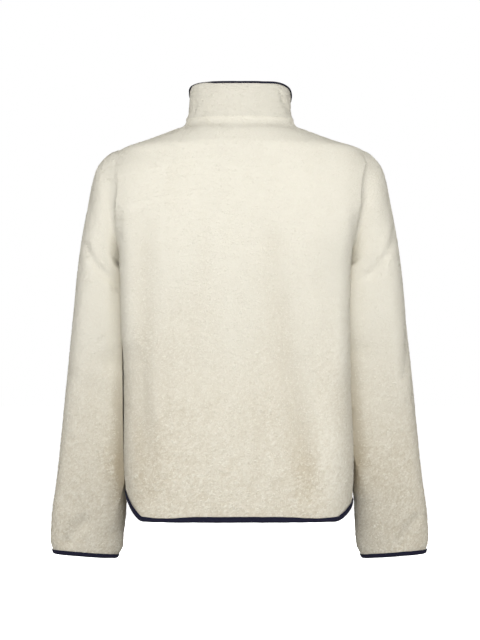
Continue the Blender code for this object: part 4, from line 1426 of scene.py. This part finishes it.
def teethPlaces(side):
    edge, facing, inward = zipEdge(side)
    depth = zipper["tapeDepth"] + zipper["tapeThickness"] / 2
    line = edge + zipper["teethFromEdge"] * inward - depth * facing
    run = runAlong(line)
    start = zipper["pitch"] * (0.5 if side == "left" else 1.0)
    wanted = np.arange(start, run[-1] - zipper["pitch"] / 2, zipper["pitch"])
    places = placed(wanted, run, line)
    facing = unit(placed(wanted, run, facing))
    # the tooth's own X points at the other row when its Y runs down on the left and up on the right
    along = np.gradient(places, axis=0) * -sides[side]
    return places, facing, unit(along)


tapeLook = tapeMaterial()
plastic = {
    "dark": (0.010, 0.010, 0.030, 1.0),
    "light": (0.020, 0.020, 0.050, 1.0),
    "metallic": 0.0,
    "roughness": 0.38,
    "grain": 900.0,
}
metal = {
    "dark": (0.075, 0.075, 0.082, 1.0),
    "light": (0.130, 0.130, 0.140, 1.0),
    "metallic": 1.0,
    "roughness": 0.36,
    "grain": 700.0,
}
teethLook = hardMaterial("navyTeeth", plastic)
metalLook = hardMaterial("darkMetal", metal)
repeated, repeatedSockets = repeatTree()
tooth, stitch = addTooth(), addStitch()
for side in sides:
    keep(addTape(f"{side}Tape", side), f"zip_tape_{side}", tapeLook)
    values = {"model": tooth, "look": teethLook, "seed": 3, "scaleLeast": 1.0, "scaleMost": 1.0}
    keep(addRepeated(f"{side}Teeth", *teethPlaces(side), values), f"zip_teeth_{side}")
for name in ("zip_slider", "zip_pull", "zip_box"):
    bpy.data.objects[name].data.materials[0] = metalLook
for name, (line, facing) in stitchLines.items():
    run = runAlong(line)
    wanted = np.arange(binding["stitchStart"], run[-1] - binding["stitchStart"], binding["stitchPitch"])
    places = placed(wanted, run, line)
    facing = unit(placed(wanted, run, facing))
    values = {"model": stitch, "look": navy, "seed": 9, "scaleLeast": 0.9, "scaleMost": 1.1}
    along = unit(np.gradient(places, axis=0))
    keep(addRepeated(f"{name}Stitches", places, facing, along, values))
for model in (tooth, stitch):
    bpy.data.objects.remove(model)
print("zip and stitches made")

curled, curledSockets = napTree()
kinds = {
    "backPanel": "back",
    "leftFront": "front",
    "rightFront": "front",
    "leftSleeve": "sleeve",
    "rightSleeve": "sleeve",
    "standCollar": "collar",
}
for seed, (name, kind) in enumerate(kinds.items()):
    values = {key: nap[key] for key in ("curlLength", "curlWidth", "curlHeight", "curlBow", "sunk")}
    values.update(perArea=nap["perArea"][kind], seed=seed + 5, look=pieces[name].data.materials[0])
    base = addObject(f"{name}Base", pieces[name].data)
    piece = madePlain(f"{name}Nap", base, curled, curledSockets, values)
    bpy.data.objects.remove(base)
    keep(piece)
    print(piece.name, len(piece.data.polygons) * 2, "triangles")
stage = {
    "cameraDistance": 4.5,
    "eyeHeight": -0.351,
    "viewHeight": 1.106,  # what the picture's height takes in at the jacket
    "sensor": 36.0,
    "aside": -0.0009,
    "floorLevel": -0.90,
    "floorGlow": 0.78,
    "skyAbove": 0.30,
    "skyBelow": 0.16,
}


def addFloor():
    size = 12.0
    z = stage["floorLevel"]
    mesh = bpy.data.meshes.new("floor")
    corners = [(-size, -size, z), (size, -size, z), (size, size, z), (-size, size, z)]
    mesh.from_pydata(corners, [], [(0, 1, 2, 3)])
    floor = addObject("floor", mesh)
    made, _, shader = nodeTree("paleFloor")
    setInputs(shader, {"Base Color": (0.93, 0.93, 0.93, 1.0), "Roughness": 0.9})
    setInputs(shader, {"Emission Color": (1.0, 1.0, 1.0, 1.0), "Emission Strength": stage["floorGlow"]})
    mesh.materials.append(made)
    floor.visible_diffuse = False  # the cloth's lower side stays in its own shade


def addCamera():
    data = bpy.data.cameras.new("camera")
    data.sensor_width = stage["sensor"]
    data.lens = stage["sensor"] * stage["cameraDistance"] / stage["viewHeight"]
    camera = addObject("camera", data)
    camera.location = (stage["aside"], stage["cameraDistance"], stage["eyeHeight"])
    camera.rotation_euler = (math.pi / 2, 0.0, math.pi)
    bpy.context.scene.camera = camera


def addSoftbox(name, place, target, size, power):
    data = bpy.data.lights.new(name, "AREA")
    data.shape = "RECTANGLE"
    data.size, data.size_y = size
    data.energy = power
    light = addObject(name, data)
    light.location = place
    aim = unit(np.array(target) - np.array(place))
    pitch = math.acos(-aim[2])
    light.rotation_euler = (pitch, 0.0, math.atan2(aim[1], aim[0]) - math.pi / 2)


def addWorld():
    world = bpy.data.worlds.new("studio")
    world.use_nodes = True
    tree = world.node_tree
    link = tree.links.new
    # softer light from below than from above
    fill = tree.nodes["Background"]
    fill.inputs["Color"].default_value = (1.0, 0.985, 0.955, 1.0)
    parts = addNode(tree, "ShaderNodeSeparateXYZ")
    link(addNode(tree, "ShaderNodeTexCoord").outputs["Generated"], parts.inputs[0])
    values = {"From Min": -0.8, "From Max": 0.8, "To Min": stage["skyBelow"], "To Max": stage["skyAbove"]}
    height = addNode(tree, "ShaderNodeMapRange", values, interpolation_type="SMOOTHSTEP")
    link(parts.outputs["Z"], height.inputs["Value"])
    link(height.outputs[0], fill.inputs["Strength"])
    # and plain white where the background itself is seen
    seen = addNode(tree, "ShaderNodeBackground", {"Color": (1.0, 1.0, 1.0, 1.0), "Strength": 1.0})
    mix = addNode(tree, "ShaderNodeMixShader")
    link(addNode(tree, "ShaderNodeLightPath").outputs["Is Camera Ray"], mix.inputs[0])
    link(fill.outputs[0], mix.inputs[1])
    link(seen.outputs[0], mix.inputs[2])
    link(mix.outputs[0], tree.nodes["World Output"].inputs["Surface"])
    bpy.context.scene.world = world


addFloor()
addCamera()
addWorld()
addSoftbox("keyLight", (0.0, 2.6, 0.20), (0.0, 0.0, -0.3), (3.0, 1.2), 66.0)
addSoftbox("frontLight", (0.0, -2.6, 0.20), (0.0, 0.0, -0.3), (3.0, 1.2), 62.0)
addSoftbox("leftLight", (2.4, 1.0, 0.45), (0.15, 0.0, -0.1), (1.4, 1.4), 15.0)
addSoftbox("rightLight", (-2.4, 1.0, 0.45), (-0.15, 0.0, -0.1), (1.4, 1.4), 15.0)
bpy.context.scene.view_settings.view_transform = "Standard"
print("stage set")
